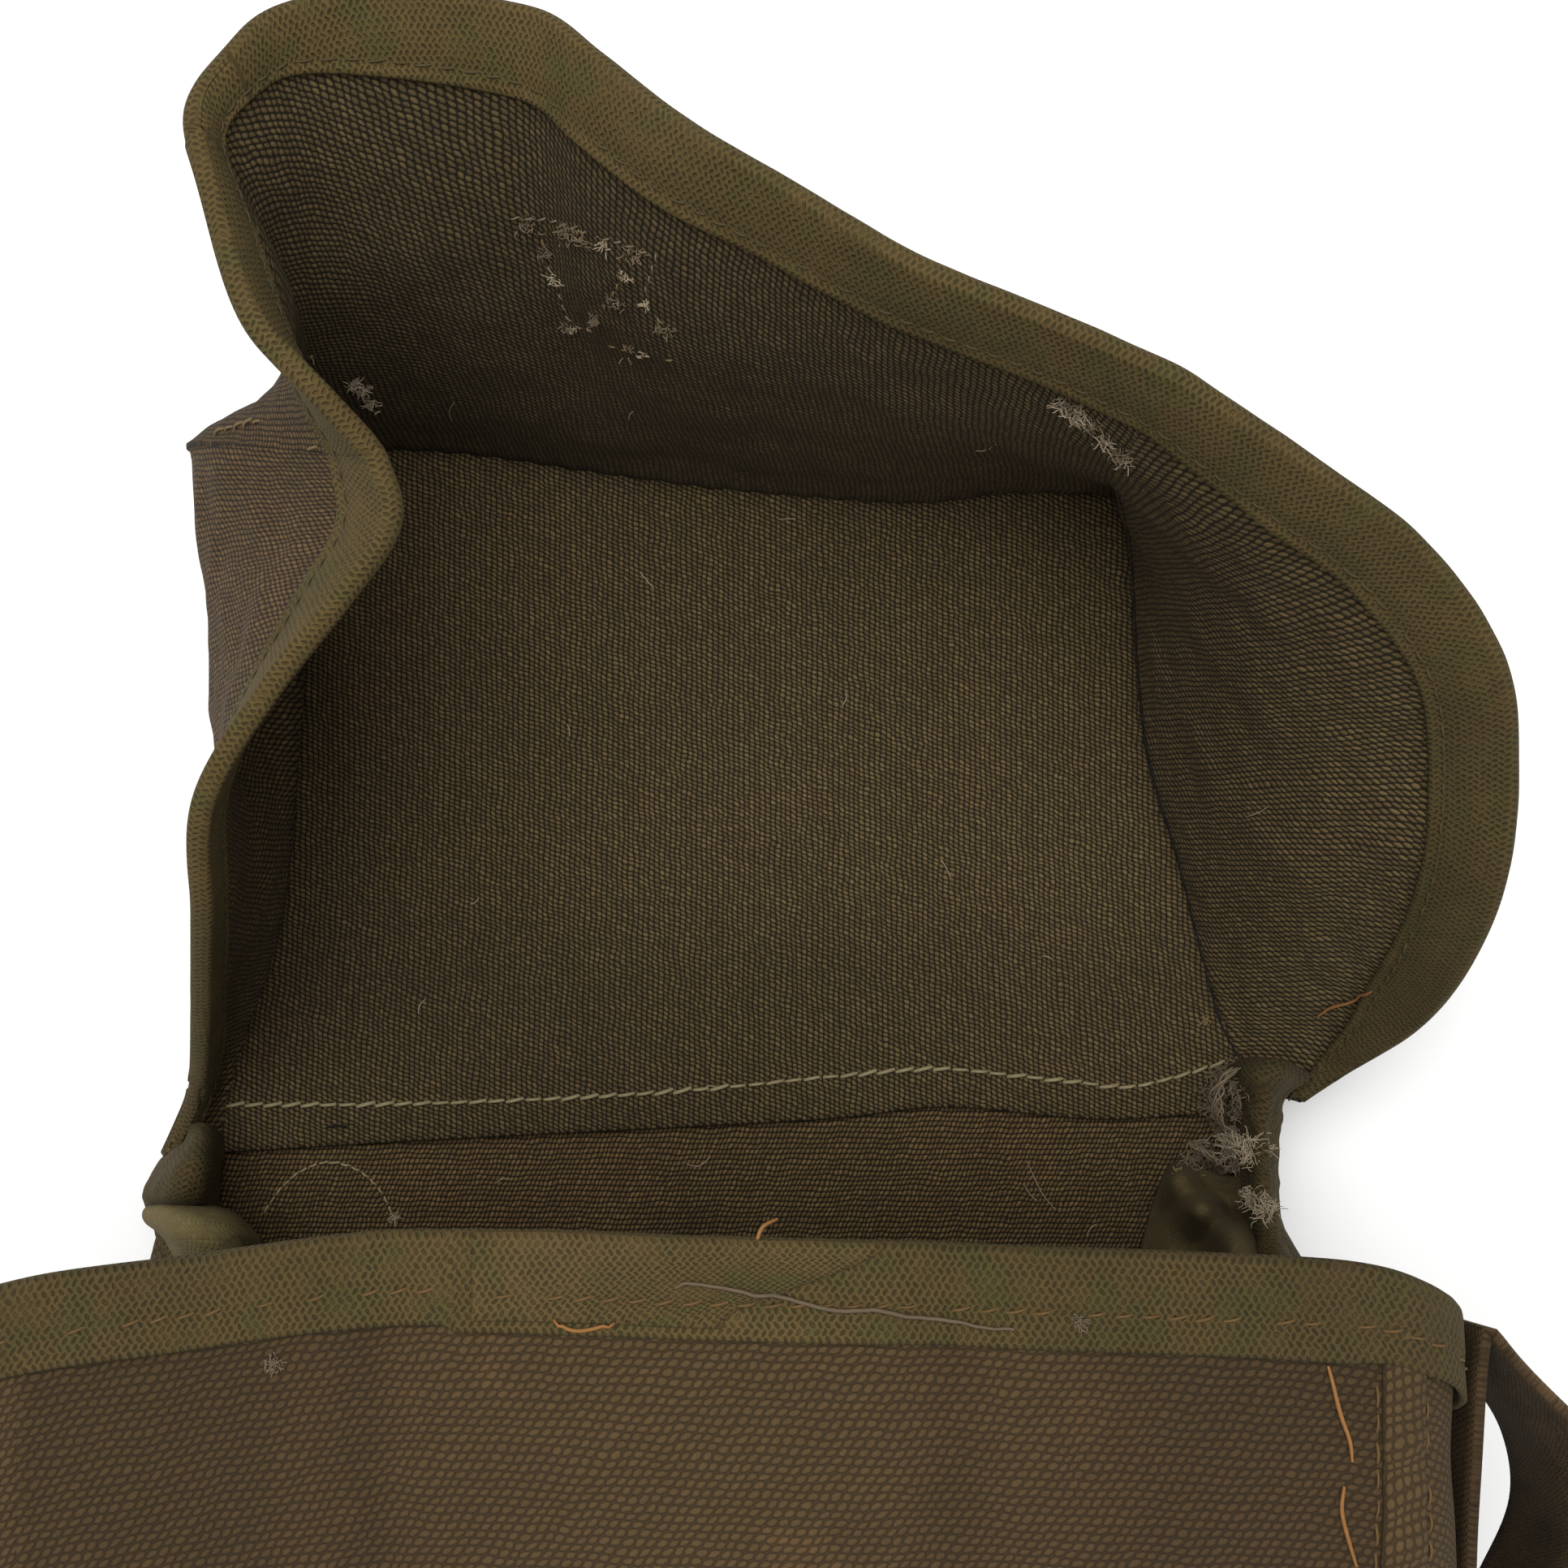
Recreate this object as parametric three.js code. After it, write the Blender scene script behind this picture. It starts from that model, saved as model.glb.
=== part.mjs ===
import * as THREE from "three";

// Named sizes in millimetres. The bag lies on its back wall, opening towards +Y, with the flap thrown open beyond.
const width = 216; // across the hinge
const depth = 127; // back wall to front wall
const height = 235; // mouth to bottom
const flapLength = 136; // hinge to the flap's far seam
const lidHeight = 110; // how tall the flap's front lip and side wings are cut
const hingeLift = 12; // the back wall rises this much at the hinge
const canvas = 1.4; // cloth thickness
const webbing = 1.1; // thickness of one layer of binding
const bindingFace = 15; // how far the folded binding reaches down each side of an edge
const gap = 0.3; // clearance between sewn layers
const cornerRadius = 11; // roll of the front wall into the sides
const strapWidth = 38;
const strapThickness = 1.6;
const restToHinge = 150; // from the origin, on the back wall's underside, to the hinge

const olive = { canvas: 0x4f4430, outside: 0x5d4f36, binding: 0x5b5131, strap: 0x6b5638 };
const group = new THREE.Group();
group.name = "general_purpose_bag";

// Reads a table's column at a share, as a smooth curve through its rows.
const read = (rows, column, at) => {
  const t = Math.min(Math.max(at, rows[0].at), rows[rows.length - 1].at);
  let i = 0;
  while (i < rows.length - 2 && t > rows[i + 1].at) i++;
  const value = (k) => rows[k][column] ?? 0;
  const slope = (k) => {
    const a = Math.max(k - 1, 0), b = Math.min(k + 1, rows.length - 1);
    return (value(b) - value(a)) / (rows[b].at - rows[a].at);
  };
  const step = rows[i + 1].at - rows[i].at, s = (t - rows[i].at) / step;
  return value(i) * (2 * s ** 3 - 3 * s ** 2 + 1) + value(i + 1) * (3 * s ** 2 - 2 * s ** 3)
    + step * (slope(i) * (s ** 3 - 2 * s ** 2 + s) + slope(i + 1) * (s ** 3 - s ** 2));
};
const smooth = (from, to, x) => {
  const s = Math.min(Math.max((x - from) / (to - from), 0), 1);
  return s * s * (3 - 2 * s);
};
const vector = (x, y, z) => new THREE.Vector3(x, y, z);

// Adds one closed solid from its corner points and four-sided faces, turned so that its faces point out.
const addSolid = (name, points, quads, colour) => {
  const split = ([a, b, c, d]) => (a === d || c === d ? [[a, b, c]] : [[a, b, c], [a, c, d]]);
  const triangles = quads.flatMap(split);
  let volume = 0;
  for (const [a, b, c] of triangles) volume += points[a].dot(points[b].clone().cross(points[c]));
  if (volume < 0) triangles.forEach((t) => t.reverse());
  const geometry = new THREE.BufferGeometry();
  const places = points.flatMap((p) => [p.x, p.y + restToHinge, p.z]);
  geometry.setAttribute("position", new THREE.Float32BufferAttribute(places, 3));
  geometry.setIndex(triangles.flat());
  geometry.computeVertexNormals();
  const finish = new THREE.MeshStandardMaterial({ color: colour, roughness: 0.95, side: THREE.DoubleSide });
  const mesh = new THREE.Mesh(geometry, finish);
  mesh.name = name;
  group.add(mesh);
};

// The unit normal of a surface given by two shares.
const normalOf = (surface, u, v) => {
  const e = 0.004;
  const du = surface(u + e, v).sub(surface(u - e, v)), dv = surface(u, v + e).sub(surface(u, v - e));
  return du.cross(dv).normalize();
};

// Stations for a mesh: evenly spaced, or the lines of a shared grid that lie between two ends.
const even = (from, to, steps) =>
  Array.from({ length: steps + 1 }, (_, i) => from + ((to - from) * i) / steps);
const between = (grid, from, to) => [from, ...grid.filter((g) => g > from + 0.003 && g < to - 0.003), to];

// A sheet of cloth: the surface thickened both ways at the given stations.
const addSheet = (name, surface, us, vs, thickness, colour, shift = 0) => {
  const across = us.length - 1, down = vs.length - 1, row = down + 1, side = (across + 1) * row;
  const points = [], quads = [];
  for (const half of [0.5, -0.5]) {
    const offset = shift + half * thickness;
    for (const u of us)
      for (const v of vs) points.push(surface(u, v).add(normalOf(surface, u, v).multiplyScalar(offset)));
  }
  const at = (i, j) => i * row + j;
  for (let i = 0; i < across; i++)
    for (let j = 0; j < down; j++) {
      quads.push([at(i, j), at(i + 1, j), at(i + 1, j + 1), at(i, j + 1)]);
      quads.push([side + at(i, j), side + at(i, j + 1), side + at(i + 1, j + 1), side + at(i + 1, j)]);
    }
  for (let i = 0; i < across; i++)
    for (const [j, flip] of [[0, false], [down, true]]) {
      const a = at(i, j), b = at(i + 1, j);
      quads.push(flip ? [a, b, side + b, side + a] : [a, side + a, side + b, b]);
    }
  for (let j = 0; j < down; j++)
    for (const [i, flip] of [[0, true], [across, false]]) {
      const a = at(i, j), b = at(i, j + 1);
      quads.push(flip ? [a, b, side + b, side + a] : [a, side + a, side + b, b]);
    }
  addSolid(name, points, quads, colour);
};

// A ring of section points carried along a line, closed by flat ends.
const addSweep = (name, rings, colour) => {
  const points = rings.flat(), size = rings[0].length, quads = [];
  for (let i = 0; i + 1 < rings.length; i++)
    for (let j = 0; j < size; j++) {
      const k = (j + 1) % size;
      quads.push([i * size + j, i * size + k, (i + 1) * size + k, (i + 1) * size + j]);
    }
  const last = (rings.length - 1) * size;
  for (let j = 0; j < size / 2 - 1; j++) {
    quads.push([j, size - 1 - j, size - 2 - j, j + 1]);
    quads.push([last + j, last + j + 1, last + size - 2 - j, last + size - 1 - j]);
  }
  addSolid(name, points, quads, colour);
};

// Webbing folded over an edge. The edge gives the point at a share along it, a distance down from its crest and a
// distance out from the cloth.
const addBinding = (name, edge, stations, faceAt = () => bindingFace, slack = 0) => {
  const inner = canvas / 2 + gap + slack, outer = inner + webbing, rings = [];
  for (const at of stations) {
    const face = faceAt(at);
    const half = [[face, inner], [face * 0.5, inner], [webbing, inner]];
    const cover = [[0, outer * 0.4], [webbing * 0.6, outer], [face * 0.5, outer], [face, outer]];
    const otherSide = (list) => list.map(([d, n]) => [d, -n]).reverse();
    const section = [...half, ...otherSide(half), ...otherSide(cover), ...cover];
    rings.push(section.map(([d, n]) => edge(at, d, n)));
  }
  const size = rings[0].length, points = rings.flat(), quads = [];
  for (let i = 0; i + 1 < rings.length; i++)
    for (let j = 0; j < size; j++) {
      const k = (j + 1) % size;
      quads.push([i * size + j, i * size + k, (i + 1) * size + k, (i + 1) * size + j]);
    }
  const last = (rings.length - 1) * size;
  // Each end is filled leg by leg: 0-5 is the slot, 6-13 the outside.
  const legs = [[5, 6, 7, 4], [4, 7, 8, 3], [3, 8, 9, 2], [2, 9, 10, 2], [2, 10, 11, 2], [2, 11, 12, 1], [1, 12, 13, 0]];
  for (const [a, b, c, d] of legs) {
    const end = a === d ? [[a, b, c]] : [[a, b, c, d]];
    for (const face of end) {
      const full = face.length === 3 ? [face[0], face[1], face[2], face[2]] : face;
      quads.push(full.slice().reverse());
      quads.push(full.map((k) => last + k));
    }
  }
  addSolid(name, points, quads, olive.binding);
};

// The back wall's height above the table along the bag, with the lift at the hinge.
const backLevel = (y) => canvas / 2 + hingeLift * 0.94 * smooth(-0.4 * height, 0, y);

// The body's cross-section along its length: half width, front level and corner roll, as shares of width, depth and
// cornerRadius.
const bodyRows = [
  { at: 0.0, half: 0.5, front: 1.076, roll: 1.0 },
  { at: 0.15, half: 0.499, front: 1.098, roll: 1.05 },
  { at: 0.45, half: 0.494, front: 1.04, roll: 1.2 },
  { at: 0.8, half: 0.486, front: 0.975, roll: 1.35 },
  { at: 1.0, half: 0.48, front: 0.93, roll: 1.45 },
];
// The mouth's edge from the left back corner (-1) past the front's middle (0) to the right back corner (1), as a share
// of height.
const mouthRows = [
  { at: -1, rise: 0.0 }, { at: -0.95, rise: -0.032 }, { at: -0.89, rise: -0.074 },
  { at: -0.75, rise: -0.08 }, { at: -0.62, rise: -0.057 },
  { at: -0.5, rise: -0.027 }, { at: -0.42, rise: -0.003 }, { at: -0.33, rise: 0.009 },
  { at: -0.19, rise: 0.026 }, { at: 0, rise: 0.024 },
  { at: 0.22, rise: 0.016 }, { at: 0.35, rise: 0.011 }, { at: 0.415, rise: 0.004 },
  { at: 0.455, rise: -0.013 }, { at: 0.5, rise: -0.042 },
  { at: 0.62, rise: -0.064 }, { at: 0.74, rise: -0.08 }, { at: 0.86, rise: -0.076 },
  { at: 0.94, rise: -0.046 }, { at: 1, rise: 0.0 },
];
// Dents and swells of the body: where round the mouth, how far down, how wide, how long, and how far out as a share
// of depth.
const bodyFolds = [
  { round: -0.85, down: 0.0, wide: 0.1, long: 0.08, out: -0.11 },
  { round: -0.95, down: 0.06, wide: 0.06, long: 0.08, out: 0.1 },
  { round: 0.78, down: 0.0, wide: 0.14, long: 0.08, out: -0.03 },
  { round: -0.19, down: 0.35, wide: 0.022, long: 0.3, out: -0.016 },
  { round: -0.3, down: 0.2, wide: 0.06, long: 0.2, out: -0.02 },
  { round: 0.145, down: 0.3, wide: 0.03, long: 0.3, out: -0.014 },
  { round: 0.02, down: 0.3, wide: 0.12, long: 0.3, out: 0.022 },
  { round: -0.76, down: 0.55, wide: 0.13, long: 0.3, out: -0.07 },
  { round: 0.76, down: 0.6, wide: 0.13, long: 0.3, out: -0.08 },
];
const flat = 0.42; // the share of the half perimeter that is front wall

// A point of the body: round is -1 to 1 from back corner to back corner, down is 0 at the mouth and 1 at the bottom.
const bodyShape = (round, down) => {
  const side = Math.sign(round) || 1, q = Math.abs(round);
  const half = read(bodyRows, "half", down) * width, front = read(bodyRows, "front", down) * depth;
  const roll = read(bodyRows, "roll", down) * cornerRadius;
  const y = read(mouthRows, "rise", round) * height * (1 - down) - height * down;
  const arcEnd = flat + 0.075;
  if (q <= flat) return vector((side * (half - roll) * q) / flat, y, front);
  if (q <= arcEnd) {
    const turn = ((q - flat) / (arcEnd - flat)) * (Math.PI / 2);
    return vector(side * (half - roll + roll * Math.sin(turn)), y, front - roll + roll * Math.cos(turn));
  }
  const foot = backLevel(y) + canvas / 2 + gap + 0.2, s = (q - arcEnd) / (1 - arcEnd);
  return vector(side * half, y, (front - roll) * (1 - s) + foot * s);
};
const bodySurface = (round, down) => {
  const point = bodyShape(round, down);
  let out = 0;
  for (const f of bodyFolds)
    out += f.out * depth * Math.exp(-(((round - f.round) / f.wide) ** 2) - ((down - f.down) / f.long) ** 2);
  const before = bodyShape(round - 0.01, down), after = bodyShape(round + 0.01, down);
  const across = after.sub(before);
  const ease = smooth(0, 0.08, 1 - Math.abs(round)) * smooth(0, 0.1, 1 - down);
  return point.add(vector(-across.z, 0, across.x).normalize().multiplyScalar(out * ease));
};

// The flap's side wings from the hinge (0) to the far corner (1). seam is a wing's foot as shares of half the width,
// of flapLength and of hingeLift; out, rise and slide carry it to the free edge as shares of lidHeight; foot and edge
// are the outward and sideways parts of the cloth's upward direction at its seam and at its free edge.
const rightWing = [
  { at: 0.0, seamX: 1.0, seamY: 0.015, seamZ: 1.2,
    out: 0.06, rise: 0.03, slide: 0.0, footOut: 0.6, footSlide: 0, edgeOut: 0.8, edgeSlide: -0.3 },
  { at: 0.09, seamX: 0.972, seamY: 0.103, seamZ: 1.13,
    out: 0.19, rise: 0.1, slide: -0.02, footOut: 0.6, footSlide: 0, edgeOut: 0.75, edgeSlide: -0.45 },
  { at: 0.16, seamX: 0.944, seamY: 0.169, seamZ: 0.92,
    out: 0.28, rise: 0.28, slide: -0.01, footOut: 0.45, footSlide: 0, edgeOut: 0.72, edgeSlide: -0.5 },
  { at: 0.28, seamX: 0.913, seamY: 0.276, seamZ: 0.55,
    out: 0.33, rise: 0.52, slide: -0.01, footOut: 0.3, footSlide: 0, edgeOut: 0.76, edgeSlide: -0.38 },
  { at: 0.41, seamX: 0.875, seamY: 0.404, seamZ: 0.36,
    out: 0.37, rise: 0.69, slide: -0.01, footOut: 0.22, footSlide: 0, edgeOut: 0.82, edgeSlide: -0.18 },
  { at: 0.54, seamX: 0.829, seamY: 0.529, seamZ: 0.27,
    out: 0.4, rise: 0.78, slide: 0.02, footOut: 0.2, footSlide: 0, edgeOut: 0.84, edgeSlide: 0.0 },
  { at: 0.68, seamX: 0.805, seamY: 0.657, seamZ: 0.25,
    out: 0.37, rise: 0.86, slide: 0.01, footOut: 0.12, footSlide: 0, edgeOut: 0.82, edgeSlide: 0.2 },
  { at: 0.79, seamX: 0.796, seamY: 0.765, seamZ: 0.25,
    out: 0.25, rise: 0.91, slide: 0.03, footOut: 0.05, footSlide: 0, edgeOut: 0.7, edgeSlide: 0.42 },
  { at: 0.9, seamX: 0.787, seamY: 0.875, seamZ: 0.25,
    out: 0.09, rise: 0.94, slide: 0.01, footOut: -0.03, footSlide: 0, edgeOut: 0.52, edgeSlide: 0.52 },
  { at: 1.0, seamX: 0.759, seamY: 0.967, seamZ: 0.25,
    out: -0.08, rise: 0.97, slide: 0.02, footOut: -0.15, footSlide: 0, edgeOut: 0.3, edgeSlide: 0.5 },
];
const leftWing = [
  { at: 0.0, seamX: -0.984, seamY: -0.05, seamZ: 1.2,
    out: 0.08, rise: 0.07, slide: 0.0, footOut: 0.5, footSlide: 0, edgeOut: 0.5, edgeSlide: 0 },
  { at: 0.06, seamX: -0.972, seamY: 0.03, seamZ: 1.17,
    out: 0.03, rise: 0.12, slide: 0.01, footOut: 0.3, footSlide: 0, edgeOut: 0.25, edgeSlide: 0 },
  { at: 0.14, seamX: -0.944, seamY: 0.125, seamZ: 1.0,
    out: 0.01, rise: 0.25, slide: -0.02, footOut: 0.2, footSlide: 0, edgeOut: 0.05, edgeSlide: 0 },
  { at: 0.22, seamX: -0.917, seamY: 0.202, seamZ: 0.78,
    out: -0.02, rise: 0.44, slide: 0.01, footOut: 0.12, footSlide: 0, edgeOut: -0.05, edgeSlide: 0 },
  { at: 0.31, seamX: -0.889, seamY: 0.294, seamZ: 0.55,
    out: -0.05, rise: 0.64, slide: 0.05, footOut: 0.08, footSlide: 0, edgeOut: -0.05, edgeSlide: 0 },
  { at: 0.45, seamX: -0.87, seamY: 0.441, seamZ: 0.42,
    out: -0.08, rise: 0.8, slide: 0.06, footOut: 0.25, footSlide: 0, edgeOut: -0.1, edgeSlide: 0 },
  { at: 0.57, seamX: -0.861, seamY: 0.559, seamZ: 0.33,
    out: -0.18, rise: 0.83, slide: 0.08, footOut: 0.62, footSlide: 0, edgeOut: -0.45, edgeSlide: 0.05 },
  { at: 0.7, seamX: -0.852, seamY: 0.691, seamZ: 0.33,
    out: -0.29, rise: 0.86, slide: 0.05, footOut: 0.74, footSlide: 0, edgeOut: -0.72, edgeSlide: 0 },
  { at: 0.85, seamX: -0.898, seamY: 0.846, seamZ: 0.25,
    out: -0.41, rise: 0.87, slide: -0.03, footOut: 0.62, footSlide: 0.05, edgeOut: -0.75, edgeSlide: -0.05 },
  { at: 1.0, seamX: -0.963, seamY: 1.0, seamZ: 0.25,
    out: -0.45, rise: 0.88, slide: -0.12, footOut: 0.44, footSlide: 0.1, edgeOut: -0.6, edgeSlide: -0.12 },
];
// The flap's lip from its left corner (0) to its right corner (1), with the same columns.
const lip = [
  { at: 0.0, seamX: -0.963, seamY: 1.0, seamZ: 0.25,
    out: -0.12, rise: 0.88, slide: 0.45, footOut: 0.1, footSlide: -0.5, edgeOut: -0.12, edgeSlide: 0.6 },
  { at: 0.04, seamX: -0.926, seamY: 1.015, seamZ: 0.25,
    out: -0.06, rise: 0.94, slide: 0.34, footOut: 0.15, footSlide: -0.42, edgeOut: -0.02, edgeSlide: 0.2 },
  { at: 0.09, seamX: -0.889, seamY: 1.022, seamZ: 0.33,
    out: 0.03, rise: 0.97, slide: 0.21, footOut: 0.12, footSlide: -0.25, edgeOut: 0.12, edgeSlide: -0.35 },
  { at: 0.16, seamX: -0.815, seamY: 1.029, seamZ: 0.33,
    out: 0.22, rise: 0.95, slide: 0.07, footOut: 0.05, footSlide: -0.1, edgeOut: 0.42, edgeSlide: -0.55 },
  { at: 0.2, seamX: -0.741, seamY: 1.037, seamZ: 0.33,
    out: 0.32, rise: 0.93, slide: -0.03, footOut: 0.08, footSlide: -0.05, edgeOut: 0.66, edgeSlide: -0.42 },
  { at: 0.26, seamX: -0.648, seamY: 1.037, seamZ: 0.33,
    out: 0.42, rise: 0.9, slide: -0.07, footOut: 0.12, footSlide: 0, edgeOut: 0.8, edgeSlide: -0.28 },
  { at: 0.31, seamX: -0.556, seamY: 1.033, seamZ: 0.33,
    out: 0.49, rise: 0.88, slide: -0.1, footOut: 0.15, footSlide: 0, edgeOut: 0.86, edgeSlide: -0.15 },
  { at: 0.37, seamX: -0.435, seamY: 1.022, seamZ: 0.33,
    out: 0.53, rise: 0.87, slide: -0.08, footOut: 0.18, footSlide: 0, edgeOut: 0.9, edgeSlide: -0.05 },
  { at: 0.47, seamX: -0.278, seamY: 1.004, seamZ: 0.25,
    out: 0.53, rise: 0.88, slide: 0.0, footOut: 0.16, footSlide: 0, edgeOut: 0.9, edgeSlide: 0.1 },
  { at: 0.54, seamX: -0.139, seamY: 0.989, seamZ: 0.25,
    out: 0.465, rise: 0.91, slide: -0.03, footOut: 0.12, footSlide: 0, edgeOut: 0.86, edgeSlide: 0.25 },
  { at: 0.6, seamX: -0.028, seamY: 0.978, seamZ: 0.25,
    out: 0.385, rise: 0.93, slide: -0.03, footOut: 0.1, footSlide: 0, edgeOut: 0.78, edgeSlide: 0.3 },
  { at: 0.71, seamX: 0.185, seamY: 0.963, seamZ: 0.25,
    out: 0.285, rise: 0.94, slide: -0.05, footOut: 0.08, footSlide: 0, edgeOut: 0.6, edgeSlide: 0.25 },
  { at: 0.8, seamX: 0.37, seamY: 0.956, seamZ: 0.25,
    out: 0.195, rise: 0.95, slide: -0.07, footOut: 0.05, footSlide: 0, edgeOut: 0.5, edgeSlide: 0.2 },
  { at: 0.9, seamX: 0.556, seamY: 0.971, seamZ: 0.25,
    out: 0.095, rise: 0.96, slide: -0.06, footOut: 0.02, footSlide: 0, edgeOut: 0.48, edgeSlide: 0.22 },
  { at: 1.0, seamX: 0.759, seamY: 0.967, seamZ: 0.25,
    out: 0.02, rise: 0.97, slide: -0.08, footOut: 0.0, footSlide: -0.15, edgeOut: 0.5, edgeSlide: 0.3 },
];
const seamPoint = (rows, at) => {
  const [x, y, z] = ["seamX", "seamY", "seamZ"].map((column) => read(rows, column, at));
  return vector((x * width) / 2, y * flapLength, z * hingeLift);
};

// A standing panel of the flap: up is 0 at its seam and 1 at its free edge.
const standing = (rows, outward, alongside) => (at, up) => {
  const carry = (o, r, s) => vector(0, 0, r).addScaledVector(outward, o).addScaledVector(alongside, s);
  const heading = (o, s) => carry(o, Math.sqrt(Math.max(1 - o * o - s * s, 0.01)), s);
  const foot = seamPoint(rows, at);
  const value = (column) => read(rows, column, at);
    const reach = carry(value("out"), value("rise"), value("slide")).multiplyScalar(lidHeight);
  const long = reach.length() * 1.1, u2 = up * up, u3 = u2 * up;
  return foot.addScaledVector(reach, 3 * u2 - 2 * u3)
      .addScaledVector(heading(value("footOut"), value("footSlide")), long * (u3 - 2 * u2 + up))
      .addScaledVector(heading(value("edgeOut"), value("edgeSlide")), long * (u3 - u2));
};
const rightPanel = standing(rightWing, vector(1, 0, 0), vector(0, 1, 0));
const leftPanel = standing(leftWing, vector(-1, 0, 0), vector(0, 1, 0));
const lipPanel = standing(lip, vector(0, 1, 0), vector(1, 0, 0));
const rise = (panel, at) => {
  let total = 0;
  for (let i = 0; i < 12; i++) total += panel(at, i / 12).distanceTo(panel(at, (i + 1) / 12));
  return total;
};
// The share up the panel that lies a given distance down from its free edge.
const below = (panel, at, distance) => {
  const speed = panel(at, 1).distanceTo(panel(at, 0.98)) / 0.02, first = 1 - distance / speed;
  return 1 - (1 - first) * (distance / Math.max(panel(at, 1).distanceTo(panel(at, first)), 0.001));
};
const freeEdge = (panel) => (at, d, n) => {
  const up = d ? below(panel, at, d) : 1;
  return panel(at, up).add(normalOf(panel, at, up).multiplyScalar(n));
};

// The hem where the flap's cloth is sewn over the back wall, as a share of flapLength, left (0) to right (1).
const hem = [
  { at: 0, y: -0.046 }, { at: 0.2, y: -0.024 }, { at: 0.45, y: 0.0 }, { at: 0.6, y: 0.016 },
  { at: 0.7, y: 0.034 }, { at: 0.85, y: 0.018 }, { at: 0.94, y: 0.026 }, { at: 1, y: 0.034 },
];
const hemLevel = backLevel(0) + canvas + 3 * gap;
// The flap's top panel, stretched between its hem, its two side seams and its far seam, sagging to the table.
const topPanel = (u, v) => {
  const left = seamPoint(leftWing, v), right = seamPoint(rightWing, v), far = seamPoint(lip, u);
  const corner = (p, y) => vector(p.x, y * flapLength, hemLevel);
  const nearLeft = corner(seamPoint(leftWing, 0), read(hem, "y", 0));
  const nearRight = corner(seamPoint(rightWing, 0), read(hem, "y", 1));
  const near = vector(nearLeft.x + (nearRight.x - nearLeft.x) * u, read(hem, "y", u) * flapLength, hemLevel);
  const farLeft = seamPoint(lip, 0), farRight = seamPoint(lip, 1);
  const blend = (a, b, c, d, e) => (1 - v) * a + v * b + (1 - u) * c + u * d - e;
  const nearRow = (k) => (1 - u) * nearLeft[k] + u * nearRight[k], farRow = (k) => (1 - u) * farLeft[k] + u * farRight[k];
  const corners = (k) => (1 - v) * nearRow(k) + v * farRow(k);
  const [x, y, z] = ["x", "y", "z"].map((k) => blend(near[k], far[k], left[k], right[k], corners(k)));
  const arch = (share) => Math.sin(Math.PI * Math.min(Math.max(share, 0), 1));
  const sag = 0.2 * hingeLift * arch(u) * arch(v);
  return vector(x, y, Math.max(z - sag, canvas / 2 + 0.1));
};

// The body's canvas, on one grid of lines round the mouth and down the bag, which its binding shares.
const seamGap = 0.004, top = (webbing + gap + 0.2) / height;
const halfRound = [
  0.06, 0.12, 0.15, 0.19, 0.24, 0.3, 0.36, 0.42, 0.44, 0.458, 0.477,
  0.497, 0.54, 0.6, 0.67, 0.75, 0.82, 0.87, 0.9, 0.93, 0.952, 0.972,
];
const roundGrid = [...halfRound.map((q) => -q).reverse(), 0, ...halfRound];
const underBinding = bindingFace / height;
const downGrid = [top, underBinding / 2, underBinding, 0.1, 0.17, 0.28, 0.42, 0.58, 0.78, 0.997];
const bodyPiece = (name, from, to) =>
  addSheet(name, bodySurface, between(roundGrid, from, to), downGrid, canvas, olive.outside);
bodyPiece("front_wall", -flat + seamGap, flat - seamGap);
bodyPiece("gusset_left", -1, -flat - seamGap);
bodyPiece("gusset_right", flat + seamGap, 1);
// The seam ridges stand on the wall's outside, and start just below the binding.
const bodyOut = Math.sign(normalOf(bodySurface, 0, 0.5).z);
const ridgeThickness = 1.2, ridgeLift = canvas / 2 + gap + 0.7, ridgeHalf = 0.009;
const ridgeGrid = [underBinding + 0.012, ...downGrid.slice(3)];
for (const [name, side] of [["front_seam_left", -1], ["front_seam_right", 1]]) {
  const across = even(side * flat - ridgeHalf, side * flat + ridgeHalf, 2);
  addSheet(name, bodySurface, across, ridgeGrid, ridgeThickness, olive.outside, bodyOut * ridgeLift);
}
const backWall = (u, v) => {
  const y = 1 - v * (height + 0.6), half = (0.484 - 0.02 * smooth(0, 1, v)) * width;
  return vector(-half + 2 * half * u, y, backLevel(y));
};
addSheet("back_wall", backWall, even(0, 1, 6), even(0, 1, 14), canvas, olive.outside);
const bottomWall = (u, v) => {
  const last = bodyRows[bodyRows.length - 1];
  const front = last.front * depth + canvas / 2, roll = last.roll * cornerRadius;
  const z = 0.2 + v * (front - 0.2), over = Math.max(z - (front - roll), 0);
  const half = last.half * width - roll + Math.sqrt(Math.max(roll ** 2 - over ** 2, 0)) + canvas / 2;
  const swell = 0.02 * height * Math.sin(Math.PI * u) * Math.sin(Math.PI * v);
  return vector(half * (2 * u - 1), -height - canvas / 2 - gap - swell, z);
};
const bottomGrid = [0, 0.25, 0.5, 0.75, 0.86, 0.9, 0.94, 0.975, 0.995];
addSheet("bottom_wall", bottomWall, even(0, 1, 10), bottomGrid, canvas, olive.outside);

// The mouth's binding: the front with its two rolled corners, then a strip down each side.
const mouthEdge = (round, d, n) =>
  bodySurface(round, d / height).addScaledVector(normalOf(bodySurface, round, d / height), n);
addBinding("mouth_binding", mouthEdge, between(roundGrid, -0.53, 0.53));
addBinding("gusset_binding_left", mouthEdge, between(roundGrid, -0.972, -0.537), undefined, 1);
addBinding("gusset_binding_right", mouthEdge, between(roundGrid, 0.537, 0.972));

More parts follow.
